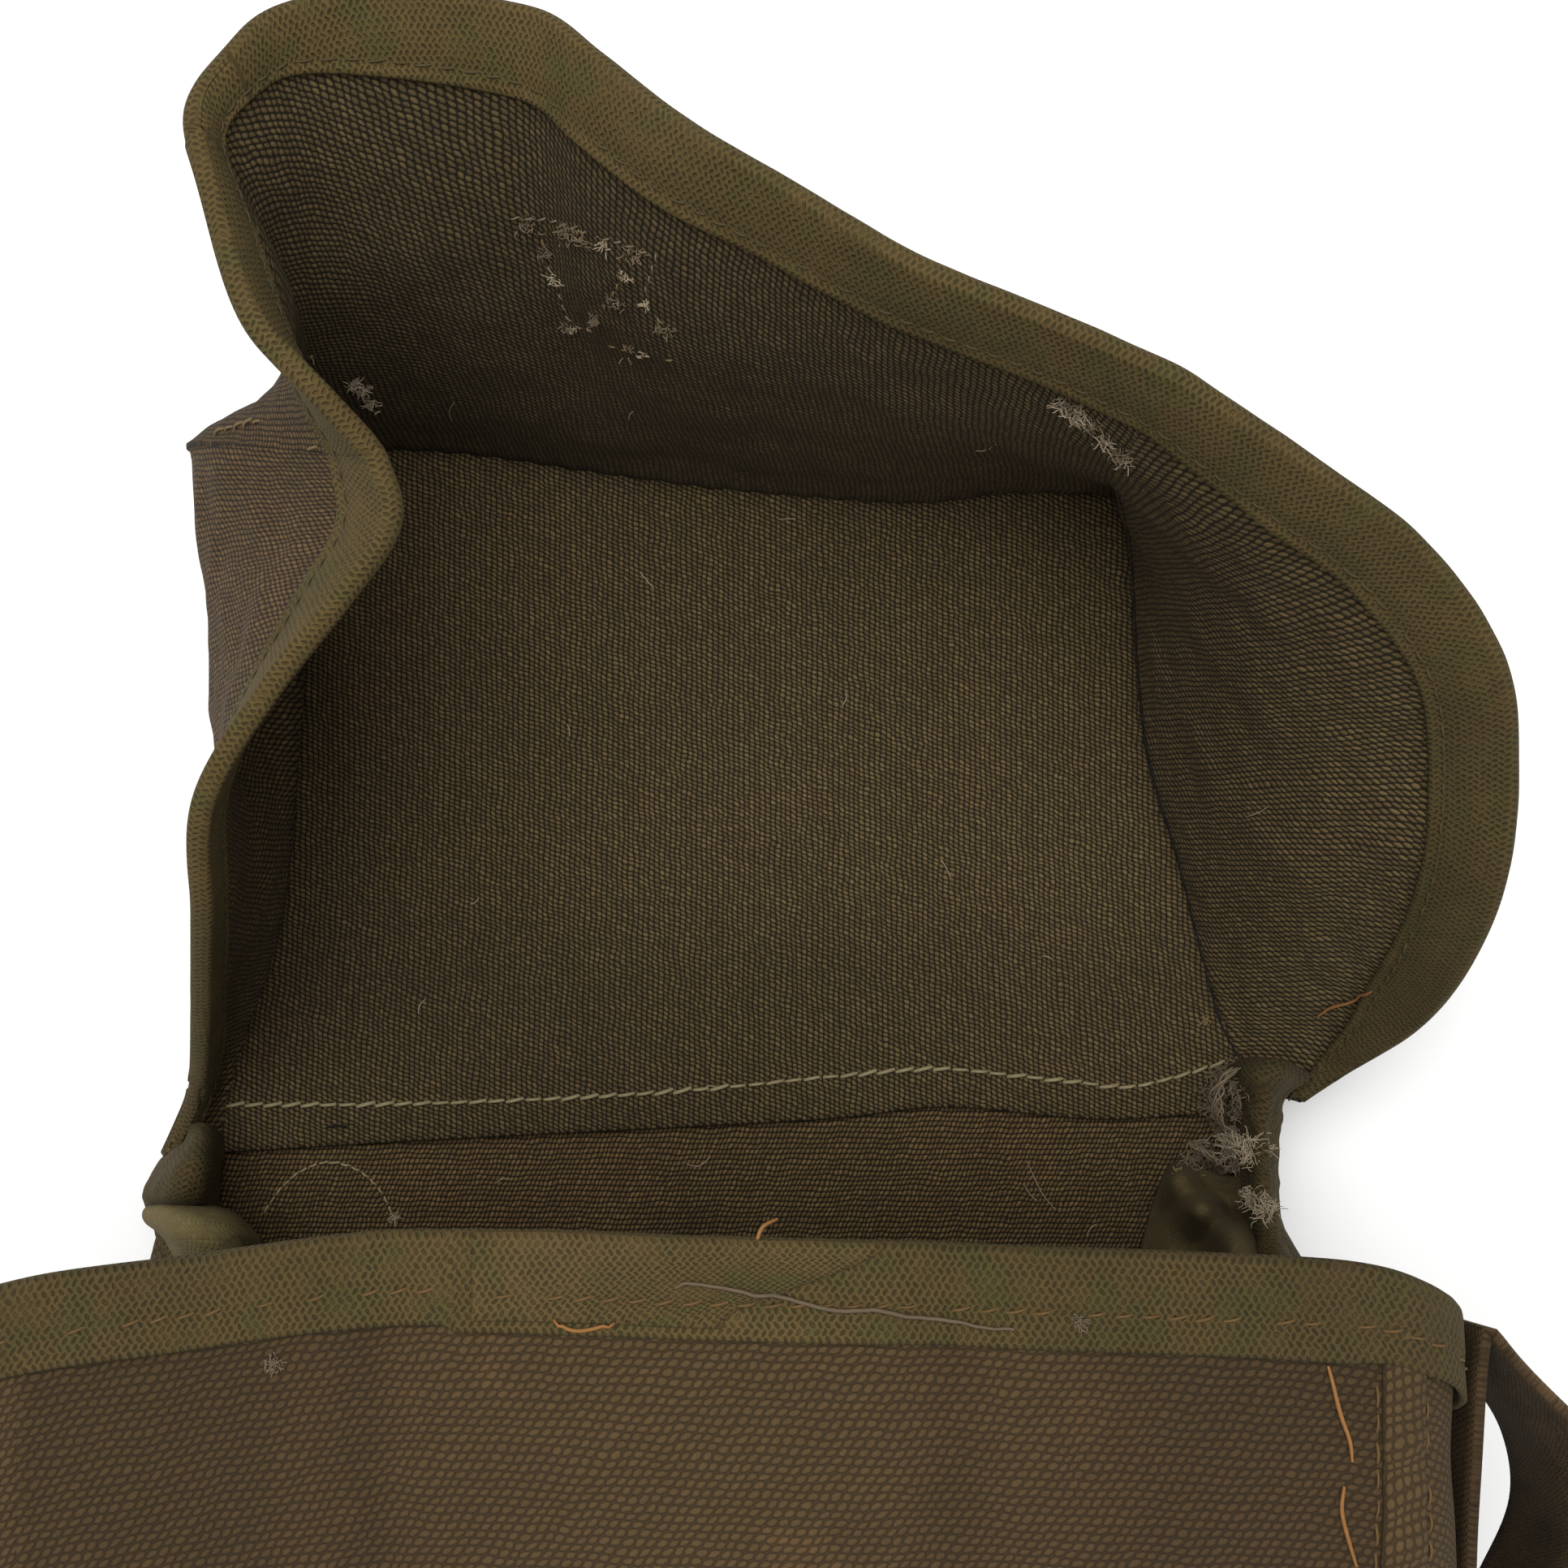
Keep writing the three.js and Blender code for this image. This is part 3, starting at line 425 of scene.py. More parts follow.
def pushed(folds, around, down):
    out = np.zeros(np.broadcast(around, down).shape)
    for middle, low, wide, long, push in zip(*(folds[k] for k in ("at", "down", "wide", "long", "out"))):
        out = out + push * depth * bump(around, middle, wide) * bump(down, low, long)
    return out


def body_surface(around, down):
    out = pushed(body_folds, around, down)
    across = body_shape(around + 0.01, down) - body_shape(around - 0.01, down)
    outward = unit(np.stack([-across[..., 2], np.zeros_like(out), across[..., 0]], -1))
    ease = smooth(0, 0.08, 1 - np.abs(around)) * smooth(0, 0.1, 1 - down)
    return body_shape(around, down) + outward * (out * ease)[..., None]


def body_cloth(around, down):
    """The body's cloth with the small creases and puckers that the plain solid leaves out."""
    middle = body_surface(around, down)
    normal = normals_of(middle)
    slack = smooth(0, 0.12, down) * smooth(0, 0.06, 1 - down)
    seam = bump(np.abs(around), front_share, 0.012)
    crease = waves(middle, 70, 21) * 0.9 + waves(middle * [1, 0.35, 1], 24, 22) * 0.35
    pucker = np.sin(middle[..., 1] * 2 * math.pi / 7.6 + waves(middle, 60, 23) * 2) * seam * 0.3
    free = smooth(0.05, 0.11, down) * smooth(0, 0.04, 1 - np.abs(around))
    folds = pushed(gusset_folds, around, down) * free
    return middle - normal * (crease * slack - folds + pucker * (down > 0.07))[..., None]


def body_map(middle):
    """Rows of the weave run round the body, so the flat map's upright axis is the way round."""
    round_run = run_length(middle[:, middle.shape[1] // 3][:, None], 0) + np.zeros(middle.shape[:2])
    return np.stack([run_length(middle, 1), round_run], -1)


def body_piece(name, start, end, steps, material, worn, node):
    around, down = np.meshgrid(np.linspace(start, end, steps), np.linspace(0.004, 1.0, 150), indexing="ij")
    middle = body_cloth(around, down)
    on_front = np.abs(around) < front_share
    # Painted light and shade: the front wall's middle is painted lighter and its sides near the corners
    # darker, and two narrow dark lines are painted down its creases.
    shade = 0.14 * bump(around, 0.0, 0.13) - 0.22 * smooth(0.17, 0.3, np.abs(around)) * on_front
    shade = shade - 0.17 * bump(around, -0.21, 0.018) - 0.15 * bump(around, 0.15, 0.02)
    return cloth(name, middle, body_map(middle), canvas, material, "outer_canvas", [node], worn, shade)


body_piece("front_wall_canvas", -front_share, front_share, 130, front_duck, (0.2, 0.6), "front_wall")
body_piece("gusset_left_canvas", -0.998, -front_share, 90, front_duck, (0.1, 0.6), "gusset_left")
body_piece("gusset_right_canvas", front_share, 0.998, 90, front_duck, (0.1, 0.6), "gusset_right")

# Where the wall meets a gusset, both cloths are folded over twice and sewn flat, which leaves a raised
# ridge down each front corner. The left one has slipped a little further round its corner.
stitch_pitch = 3.8
ridge_places = {-1: front_share + 0.034, 1: front_share + 0.004}
ridge_half = 0.012


def seam_ridge(name, side, node):
    share, down = np.meshgrid(np.linspace(-1, 1, 9), np.linspace(0.012, 0.998, 200), indexing="ij")
    middle = body_cloth(side * ridge_places[side] + share * ridge_half, down)
    swell = np.sin(middle[..., 1] * 2 * math.pi / stitch_pitch) * 0.07 + waves(middle, 18, 31) * 0.12
    raised = middle - normals_of(middle) * (canvas / 2 + 0.2 + 0.5 * (1 - share**2) + swell)[..., None]
    flat_map = np.stack([run_length(middle, 0), run_length(middle, 1)], -1)
    cloth(name, raised, flat_map, 1.0, front_duck, "outer_canvas", [node], (0.9, 0.9), 0.1 + share * 0)


seam_ridge("front_seam_left_ridge", -1, "front_seam_left")
seam_ridge("front_seam_right_ridge", 1, "front_seam_right")


# The back wall lies on the table and lifts towards the hinge, and its weave runs across the bag. The
# bottom is a plain panel that closes the far end and swells a little between its seams.
def back_wall_cloth():
    share, down = np.meshgrid(np.linspace(-1, 1, 130), np.linspace(0, 1, 150), indexing="ij")
    y = 4 - down * (height + 4)
    across = share * (0.5 - 0.02 * down) * width
    slack = smooth(0, 0.03, down) * (1 - share**6)
    swell = 1.3 * bump(across, -20, 18) * bump(y, -26, 12)
    ripple = waves(np.stack([across, y, y * 0], -1), 55, 41) * 0.5 + swell
    z = back_level(y) + np.maximum(ripple * slack, -0.4)
    middle = np.stack([across, y, z], -1)
    flat_map = np.stack([-y, across], -1)
    worn = (0.3, 0.6)
    shade = 0.1 + 0.1 * bump(y, -12, 10) - 0.3 * bump(across, -9, 9) * bump(y, -24, 7)
    cloth("back_wall_canvas", middle, flat_map, canvas, duck, "outer_canvas", ["back_wall"], worn, shade)


def bottom_cloth():
    share, up = np.meshgrid(np.linspace(-1, 1, 120), np.linspace(0, 1, 70), indexing="ij")
    last_front, last_roll, last_half = 0.93 * depth + canvas / 2, 1.45 * corner_roll, 0.48 * width
    z = 0.7 + up * (last_front - 0.7)
    over = np.maximum(z - (last_front - last_roll), 0)
    half = last_half - last_roll + np.sqrt(np.maximum(last_roll**2 - over**2, 0)) + canvas / 2
    bulge = np.cos(math.pi / 2 * share) * np.sin(math.pi * up)
    middle = np.stack([half * share, -height - canvas / 2 - 0.02 * height * bulge, z], -1)
    middle[..., 1] += waves(middle, 50, 43) * 0.5 * bulge
    flat_map = middle[..., [2, 0]]
    cloth("bottom_canvas", middle, flat_map, canvas, duck, "outer_canvas", ["bottom_wall"], (0.6, 0.1))


back_wall_cloth()
bottom_cloth()


# Cotton webbing 30 mm wide is folded over the mouth's edge and sewn through both its faces. It is paler
# and greener than the canvas. One length binds the front edge and one each gusset's edge.
webbing = 1.1
binding_face = 15
fold_depth = 1.3


def webbing_finish(name, dyed_and_painted_shade, faded, rib, tick):
    """Ribbed cotton webbing: low ribs along its length, with dark pits between the crossing threads."""
    finish = Finish(name, 0.9, 0.05, (0.62, 0.55, 0.34))
    split = finish.node("ShaderNodeSeparateXYZ")
    finish.give(split.inputs[0], finish.flat)
    sway = finish.math("MULTIPLY_ADD", finish.noise(0.35, 2.0, seed=1), 0.9, -0.45)
    across = finish.math("ADD", finish.math("DIVIDE", split.outputs[1], rib), sway)
    column = finish.math("FLOOR", across)
    from_middle = finish.math("SUBTRACT", finish.math("FRACT", across), 0.5)
    side = finish.math("PINGPONG", column, 1.0)
    lean = finish.math("MULTIPLY", from_middle, finish.math("MULTIPLY_ADD", side, 0.7, -0.35))
    jitter = finish.math("MULTIPLY", finish.noise(0.5, 2.0, seed=2), 0.9)
    run = finish.math("DIVIDE", split.outputs[0], tick)
    along = finish.math("ADD", run, finish.math("MULTIPLY", side, 0.5))
    along = finish.math("ADD", finish.math("ADD", along, lean), jitter)
    row = finish.math("FLOOR", along)
    up_middle = finish.math("SUBTRACT", finish.math("FRACT", along), 0.5)
    wide = finish.math("POWER", finish.math("ABSOLUTE", finish.math("MULTIPLY", from_middle, 2.1)), 2.0)
    tall = finish.math("POWER", finish.math("ABSOLUTE", finish.math("MULTIPLY", up_middle, 4.2)), 2.0)
    pit = finish.ramp(finish.math("ADD", wide, tall), 1.5, 0.0)
    thread = finish.math("SUBTRACT", 1.0, pit)
    speck = finish.speck(column, row)
    fade = finish.ramp(finish.noise(0.05, 4.0, seed=4), 0.35, 0.68)
    faded_share = finish.math("ADD", finish.math("MULTIPLY", fade, 0.55), finish.attribute("worn"))
    base = finish.mix(faded_share, dyed_and_painted_shade, faded)
    base = finish.mix(finish.math("MULTIPLY", speck, 0.35), base, faded)
    green = finish.ramp(finish.noise(0.16, 3.0, seed=14), 0.46, 0.68)
    greener = tuple(c * k for c, k in zip(dyed_and_painted_shade, (0.78, 1.12, 1.0)))
    base = finish.mix(finish.math("MULTIPLY", green, 0.5), base, greener)
    grime = finish.ramp(finish.noise(0.03, 4.0, seed=6), 0.5, 0.75)
    grime_brown = (0.06, 0.04, 0.018)
    base = finish.mix(finish.math("MULTIPLY", grime, 0.35), base, grime_brown)
    dark = finish.mix(1.0, base, (0.5, 0.54, 0.5), "MULTIPLY")
    pit_share = finish.math("MULTIPLY", pit, finish.ramp(finish.noise(0.3, 2.0, seed=8), 0.25, 0.6))
    woven = finish.mix(pit_share, base, dark)
    shadow = finish.math("MULTIPLY_ADD", thread, 0.12, 0.94)
    cloudy = finish.math("MULTIPLY_ADD", finish.noise(2.4, 3.0, seed=10), 0.6, 0.72)
    # The tone attribute read here adds each piece's painted light and shade to the brightness.
    bright = finish.math("ADD", finish.math("MULTIPLY", shadow, cloudy), finish.attribute("tone_and_painted_light"))
    finish.coloured(woven, bright)
    relief = finish.math("SUBTRACT", finish.math("MULTIPLY", thread, 0.5), finish.math("MULTIPLY", pit, 0.9))
    fibre = finish.math("MULTIPLY", finish.noise(3.0, 3.0, seed=12), 0.5)
    finish.bumped(finish.math("ADD", relief, fibre), 0.00022)
    return finish.material


edge_webbing = webbing_finish("edge webbing", (0.051, 0.0352, 0.0112), (0.076, 0.05, 0.017), 1.0, 1.2)


def edge_strip(surface, along, deep):
    """Points on the cloth below its free edge: a row for each share along it, at the distances in deep."""
    drops = np.linspace(0, 1, 90)
    rows = []
    for share, depths in zip(along, deep):
        line = surface(np.full(90, share), drops)
        run = np.concatenate([[0], np.cumsum(np.linalg.norm(np.diff(line, axis=0), axis=-1))])
        rows.append(np.stack([np.interp(depths, run, line[:, k]) for k in range(3)], -1))
    return np.array(rows)


def blurred(grid, reach):
    """A grid smoothed along its first axis, with its ends kept."""
    weights = np.exp(-((np.arange(-reach, reach + 1) / (reach / 2)) ** 2))
    before, after = 2 * grid[:1] - grid[1:reach + 1][::-1], 2 * grid[-1:] - grid[-reach - 1:-1][::-1]
    padded = np.concatenate([before, grid, after])
    flat_rows = padded.reshape(len(padded), -1)
    soft = np.stack([np.convolve(c, weights / weights.sum(), "valid") for c in flat_rows.T], -1)
    return soft.reshape(grid.shape)


nose_turns = np.radians([75, 50, 25, 0, -25, -50, -75])


def folded_webbing(strip_of, along, face_at, seed, round_off=0, stitch_depth=0.66):
    """The middle surface of webbing folded over an edge, from one face round the nose to the other."""
    face = np.array([face_at(share) for share in along])
    drop = np.linspace(0.11, 1.0, 16)
    deep = np.concatenate([[0.0, fold_depth], drop * binding_face])
    levels = np.stack([np.where(deep > fold_depth, deep * f / binding_face, deep) for f in face])
    strip = strip_of(along, levels)
    outward = normals_of(strip)
    if round_off:
        strip, outward = blurred(strip, round_off), unit(blurred(outward, round_off))
    crest, core = strip[:, 0], strip[:, 1]
    up = unit(crest - core)
    side = unit(outward[:, 1])
    thick = canvas / 2 + webbing / 2 + 0.12
    layer = strip[:, 2:]
    run = run_length(crest[:, None], 0)
    sunk = 0.75 + 0.25 * np.cos(run * 2 * math.pi / stitch_pitch)
    quilt = -0.3 * bump(drop, stitch_depth, 0.1)[None] * sunk
    loose = 0.3 * smooth(0.84, 1.0, drop)[None] * (0.6 + waves(layer, 26, seed))
    puff = 0.28 * bump(drop, 0.42, 0.3)[None] * (0.7 + waves(layer, 34, seed + 1))
    for_side = [layer + outward[:, 2:] * s * (thick + quilt + loose + puff)[..., None] for s in (1, -1)]
    nose = [core + side * (math.sin(t) * (thick + 0.1)) + up * (math.cos(t) * 0.9) for t in nose_turns]
    grid = np.concatenate([for_side[0][:, ::-1], np.stack(nose, 1), for_side[1]], 1)
    grid += waves(grid, 40, seed + 2)[..., None] * 0.12
    flat_map = np.stack([np.broadcast_to(run, grid.shape[:2]), run_length(grid, 1)], -1)
    return grid, flat_map


def mouth_strip(along, levels):
    return edge_strip(lambda around, drop: body_surface(around, drop * 0.12), along, levels)


def mouth_face(share):
    return binding_face - 2.4 + 1.0 * smooth(-0.16, -0.15, share) * smooth(0.42, 0.38, share)


def binding_pieces(parts, grid, flat_map, tone_and_painted_light):
    for label, node, first, last in parts:
        part = slice(first, last)
        web = (webbing, edge_webbing, "binding_webbing", [node])
        cloth(label, grid[part], flat_map[part], *web, tone_and_painted_light=tone_and_painted_light[part])


left_corner, right_corner = np.linspace(-0.985, -0.55, 110), np.linspace(0.55, 0.985, 110)
mouth_along = np.concatenate([left_corner, np.linspace(-0.546, 0.546, 330), right_corner])
mouth_grid, mouth_map = folded_webbing(mouth_strip, mouth_along, mouth_face, 51)
mouth_tone = 0.3 * bump(mouth_along, -0.03, 0.16) - 0.06 * bump(mouth_along, 0.36, 0.08)
mouth_tone = mouth_tone[:, None] + np.zeros(mouth_grid.shape[:2])
mouth_parts = [
    ("left_gusset_webbing", "gusset_binding_left", 0, 111),
    ("mouth_webbing", "mouth_binding", 110, 440),
    ("right_gusset_webbing", "gusset_binding_right", 439, 550),
]
binding_pieces(mouth_parts, mouth_grid, mouth_map, mouth_tone)


# The flap's canvas: a top panel with a lip and two wings sewn to it, which stand up like the sides of a box
# lid. Each wing or lip leaves its seam in one direction and meets its bound edge in another, so it curls.
flap_length = 136
lid_height = 110
panel_columns = "at seam_x seam_y seam_z out rise slide foot_out foot_slide edge_out edge_slide"
right_wing = table(
    panel_columns,
    (0.0, 1.0, 0.015, 1.2, 0.06, 0.03, 0.0, 0.6, 0, 0.8, -0.3),
    (0.09, 0.972, 0.103, 1.13, 0.19, 0.1, -0.02, 0.6, 0, 0.75, -0.45),
    (0.16, 0.944, 0.169, 0.92, 0.28, 0.28, -0.01, 0.45, 0, 0.72, -0.5),
    (0.28, 0.913, 0.276, 0.55, 0.33, 0.52, -0.01, 0.3, 0, 0.76, -0.38),
    (0.41, 0.875, 0.404, 0.36, 0.37, 0.69, -0.01, 0.22, 0, 0.82, -0.18),
    (0.54, 0.829, 0.529, 0.27, 0.4, 0.78, 0.02, 0.2, 0, 0.84, 0.0),
    (0.68, 0.805, 0.657, 0.25, 0.37, 0.86, 0.01, 0.12, 0, 0.82, 0.2),
    (0.79, 0.796, 0.765, 0.25, 0.25, 0.91, 0.03, 0.05, 0, 0.7, 0.42),
    (0.9, 0.787, 0.875, 0.25, 0.09, 0.94, 0.01, -0.03, 0, 0.52, 0.52),
    (1.0, 0.759, 0.967, 0.25, -0.08, 0.97, 0.02, -0.15, 0, 0.3, 0.5),
)
left_wing = table(
    panel_columns,
    (0.0, -0.984, -0.05, 1.2, 0.08, 0.07, 0.0, 0.5, 0, 0.5, 0),
    (0.06, -0.972, 0.03, 1.17, 0.03, 0.12, 0.01, 0.3, 0, 0.25, 0),
    (0.14, -0.944, 0.125, 1.0, 0.01, 0.25, -0.02, 0.2, 0, 0.05, 0),
    (0.22, -0.917, 0.202, 0.78, -0.02, 0.44, 0.01, 0.12, 0, -0.05, 0),
    (0.31, -0.889, 0.294, 0.55, -0.05, 0.64, 0.05, 0.08, 0, -0.05, 0),
    (0.45, -0.87, 0.441, 0.42, -0.08, 0.8, 0.06, 0.25, 0, -0.1, 0),
    (0.57, -0.861, 0.559, 0.33, -0.18, 0.83, 0.08, 0.62, 0, -0.45, 0.05),
    (0.7, -0.852, 0.691, 0.33, -0.29, 0.86, 0.05, 0.74, 0, -0.72, 0),
    (0.85, -0.898, 0.846, 0.25, -0.41, 0.87, -0.03, 0.62, 0.05, -0.75, -0.05),
    (1.0, -0.963, 1.0, 0.25, -0.45, 0.88, -0.12, 0.44, 0.1, -0.6, -0.12),
)
lip = table(
    panel_columns,
    (0.0, -0.963, 1.0, 0.25, -0.12, 0.88, 0.45, 0.1, -0.5, -0.12, 0.6),
    (0.04, -0.926, 1.015, 0.25, -0.06, 0.94, 0.34, 0.15, -0.42, -0.02, 0.2),
    (0.09, -0.889, 1.022, 0.33, 0.03, 0.97, 0.21, 0.12, -0.25, 0.12, -0.35),
    (0.16, -0.815, 1.029, 0.33, 0.22, 0.95, 0.07, 0.05, -0.1, 0.42, -0.55),
    (0.2, -0.741, 1.037, 0.33, 0.32, 0.93, -0.03, 0.08, -0.05, 0.66, -0.42),
    (0.26, -0.648, 1.037, 0.33, 0.42, 0.9, -0.07, 0.12, 0, 0.8, -0.28),
    (0.31, -0.556, 1.033, 0.33, 0.49, 0.88, -0.1, 0.15, 0, 0.86, -0.15),
    (0.37, -0.435, 1.022, 0.33, 0.53, 0.87, -0.08, 0.18, 0, 0.9, -0.05),
    (0.47, -0.278, 1.004, 0.25, 0.53, 0.88, 0.0, 0.16, 0, 0.9, 0.1),
    (0.54, -0.139, 0.989, 0.25, 0.465, 0.91, -0.03, 0.12, 0, 0.86, 0.25),
    (0.6, -0.028, 0.978, 0.25, 0.385, 0.93, -0.03, 0.1, 0, 0.78, 0.3),
    (0.71, 0.185, 0.963, 0.25, 0.285, 0.94, -0.05, 0.08, 0, 0.6, 0.25),
    (0.8, 0.37, 0.956, 0.25, 0.195, 0.95, -0.07, 0.05, 0, 0.5, 0.2),
    (0.9, 0.556, 0.971, 0.25, 0.095, 0.96, -0.06, 0.02, 0, 0.48, 0.22),
    (1.0, 0.759, 0.967, 0.25, 0.02, 0.97, -0.08, 0.0, -0.15, 0.5, 0.3),
)
hem = table(
    "at y",
    (0, -0.046), (0.2, -0.024), (0.45, 0.0), (0.6, 0.016), (0.7, 0.034), (0.85, 0.018), (0.94, 0.026),
    (1, 0.034),
)


def seam_point(rows, at):
    scales = [("seam_x", width / 2), ("seam_y", flap_length), ("seam_z", hinge_lift)]
    return np.stack([read(rows, column, at) * scale for column, scale in scales], -1)


def standing(rows, outward, alongside):
    outward, alongside, upward = (np.array(way, float) for way in (outward, alongside, (0, 0, 1)))

    def carry(out, rise, slide):
        return out[..., None] * outward + slide[..., None] * alongside + rise[..., None] * upward

    def heading(out, slide):
        return carry(out, np.sqrt(np.maximum(1 - out**2 - slide**2, 0.01)), slide)

    def surface(at, up):
        value = {name: read(rows, name, at) for name in panel_columns.split()[4:]}
        reach = carry(value["out"], value["rise"], value["slide"]) * lid_height
        long = np.linalg.norm(reach, axis=-1) * 1.1
        leave_pull, meet_pull = long * (up**3 - 2 * up**2 + up), long * (up**3 - up**2)
        leaving = heading(value["foot_out"], value["foot_slide"]) * leave_pull[..., None]
        meeting = heading(value["edge_out"], value["edge_slide"]) * meet_pull[..., None]
        return seam_point(rows, at) + reach * (3 * up**2 - 2 * up**3)[..., None] + leaving + meeting

    return surface


right_panel = standing(right_wing, (1, 0, 0), (0, 1, 0))
left_panel = standing(left_wing, (-1, 0, 0), (0, 1, 0))
lip_panel = standing(lip, (0, 1, 0), (1, 0, 0))


def panel_cloth(name, panel, node, seed, worn, weave, steps=150, start=0.0, tone_and_painted_light=None):
    at, up = np.meshgrid(np.linspace(start, 1, steps), np.linspace(0, 0.985, 96), indexing="ij")
    middle = panel(at, up)
    calm = smooth(0, 0.12, up) * smooth(0.13, 0.32, 1 - up) * smooth(0, 0.05, at) * smooth(0, 0.05, 1 - at)
    crease = waves(middle, 60, seed) * 0.9 + waves(middle, 22, seed + 1) * 0.3
    gather = np.sin(run_length(middle[:, :1], 0) * 2 * math.pi / 7 + waves(middle, 50, seed + 2))
    pucker = gather * bump(up, 0.03, 0.05) * 0.25
    middle = middle + normals_of(middle) * (crease * calm + pucker)[..., None]
    foot_run = run_length(middle[:, 30:31], 0) + np.zeros(middle.shape[:2])
    flat_map = np.stack([foot_run, run_length(middle, 1) * weave], -1)
    # Painted shade: each wing and the lip are painted dark along the foot of their seam.
    shade = (0.0 if tone_and_painted_light is None else tone_and_painted_light(at, up)) - 0.45 * bump(up, 0, 0.022)
    cloth(name, middle, flat_map, canvas, duck, "flap_canvas", [node], worn, shade)


# Painted shade: the lip is painted darker towards its left end and a little along its middle.
def lip_painted_shade(at, up):
    return -0.55 * bump(at, 0.1, 0.28) * bump(up, 0.15, 0.5) - 0.24 * bump(at, 0.5, 0.25)


# Painted light: the right wing is painted a little lighter all over.
def wing_painted_light(at, up):
    return 0.16 + 0 * up


panel_cloth("flap_wing_left_canvas", left_panel, "flap_wing_left", 61, (0, 1), 0.5)
panel_cloth("flap_wing_right_canvas", right_panel, "flap_wing_right", 64, (1, 0), 0.58, 150, 0.02, wing_painted_light)
panel_cloth("flap_lip_canvas", lip_panel, "flap_lip", 67, (0, 1), 0.8, 170, 0.0, lip_painted_shade)

hem_level = back_level(np.array(0.0)) + canvas + 1.4 * gap


def top_panel(u, v):
    left, right, far = seam_point(left_wing, v), seam_point(right_wing, v), seam_point(lip, u)
    ends = [(seam_point(left_wing, np.array(0.0)), 0.0), (seam_point(right_wing, np.array(0.0)), 1.0)]
    near_left, near_right = (np.array([p[0], read(hem, "y", e) * flap_length, hem_level]) for p, e in ends)
    near_x = near_left[0] + (near_right[0] - near_left[0]) * u
    near = np.stack([near_x, read(hem, "y", u) * flap_length, hem_level + 0 * u], -1)
    far_left, far_right = seam_point(lip, np.array(0.0)), seam_point(lip, np.array(1.0))
    u, v = u[..., None], v[..., None]
    near_corners = (1 - v) * ((1 - u) * near_left + u * near_right)
    far_corners = v * ((1 - u) * far_left + u * far_right)
    middle = (1 - v) * near + v * far + (1 - u) * left + u * right - near_corners - far_corners
    sag = 0.2 * hinge_lift * np.sin(math.pi * u[..., 0]) * np.sin(math.pi * np.clip(v[..., 0], 0, 1))
    middle[..., 2] = np.maximum(middle[..., 2] - sag, canvas / 2 + 0.1)
    return middle


def top_cloth():
    u, v = np.meshgrid(np.linspace(0, 1, 160), np.linspace(0, 1, 125), indexing="ij")
    middle = top_panel(u, v)
    calm = smooth(0, 0.07, v) * smooth(0, 0.08, 1 - v) * smooth(0, 0.06, u) * smooth(0, 0.06, 1 - u)
    swell = waves(middle, 75, 71) * 0.9 + waves(middle, 26, 72) * 0.22
    pucker = np.cos(middle[..., 0] * 2 * math.pi / stitch_pitch) * bump(v, 0.07, 0.02) * 0.1
    to_side, to_lip = np.minimum(u, 1 - u) * width * 0.85, (1 - v) * flap_length
    groove = bump(to_side, 0, 1.6) * smooth(0.08, 0.2, v) + bump(to_lip, 0, 1.6)
    middle[..., 2] += np.maximum(swell * calm, -0.5) + pucker - np.minimum(groove, 1) * 0.8
    # Painted light and shade: the top panel is painted lighter in its middle and towards its right, darker a
    # little way in from the hinge, and dark along its seams with the wings and the lip.
    shade = 0.1 * bump(u, 0.66, 0.22) * bump(v, 0.55, 0.3) + 0.1 * smooth(0.7, 0.9, u)
    seam_shade = bump(to_side, 0, 1.3) * smooth(0.05, 0.15, v) + bump(to_lip, 0, 1.3)
    shade = shade - 0.16 * bump(v, 0.2, 0.12) - 0.4 * np.minimum(seam_shade, 1)
    worn, flat_map = (0.0, 1.0), middle[..., :2]
    cloth("flap_top_canvas", middle, flat_map, canvas, duck, "flap_canvas", ["flap_panel"], worn, shade)


top_cloth()


# One length of webbing runs round the flap's free edge, up one wing, along the lip and down the other wing.
# It turns each corner in a soft fold, where the wings are sewn to the lip.
lid_panels = [(left_panel, 0, 1, False), (lip_panel, 1, 2, False), (right_panel, 2, 3.001, True)]


def lid_strip(along, levels):
    rows = []
    for panel, first, last, turned in lid_panels:
        chosen = (along >= first) & (along < last)
        shares = np.clip(along[chosen] - first, 0, 1)
        shares = 1 - shares if turned else shares
        rows.append(edge_strip(lambda at, drop, p=panel: p(at, 1 - drop), shares, levels[chosen]))
    return np.concatenate(rows)


def lid_face(share):
    from_hinge = min(share, 3 - share)
    narrowed = 7 * math.exp(-(((share - 1.22) / 0.12) ** 2))
    return 3.4 + (binding_face - 0.8 - 3.4) * float(smooth(0.015, 0.22, from_hinge)) - narrowed


up_left, across_lip, down_right = np.linspace(0, 1, 175), np.linspace(1, 2, 260), np.linspace(2, 2.972, 190)
lid_along = np.concatenate([up_left[:-1], across_lip[:-1], down_right])
lid_grid, lid_map = folded_webbing(lid_strip, lid_along, lid_face, 81, round_off=7, stitch_depth=0.84)
lid_tone = 0.08 + 0.3 * smooth(2.5, 1.6, lid_along) * smooth(0.0, 0.25, lid_along)
lid_tone = lid_tone[:, None] + np.zeros(lid_grid.shape[:2])
lid_parts = [
    ("left_wing_webbing", "wing_binding_left", 0, 175),
    ("lip_webbing", "lip_binding", 174, 434),
    ("right_wing_webbing", "wing_binding_right", 433, len(lid_along)),
]
binding_pieces(lid_parts, lid_grid, lid_map, lid_tone)


# The shoulder strap: one length of brushed cotton webbing, 38 mm wide, sewn outside both gussets. It stands
# on its edge on the table and goes round the bag's bottom in one loop. Its right half is given in half
# widths across, heights along and depths of lift, and the left half mirrors it.
strap_width = 38
strap_thickness = 1.6
flare_reach = 10
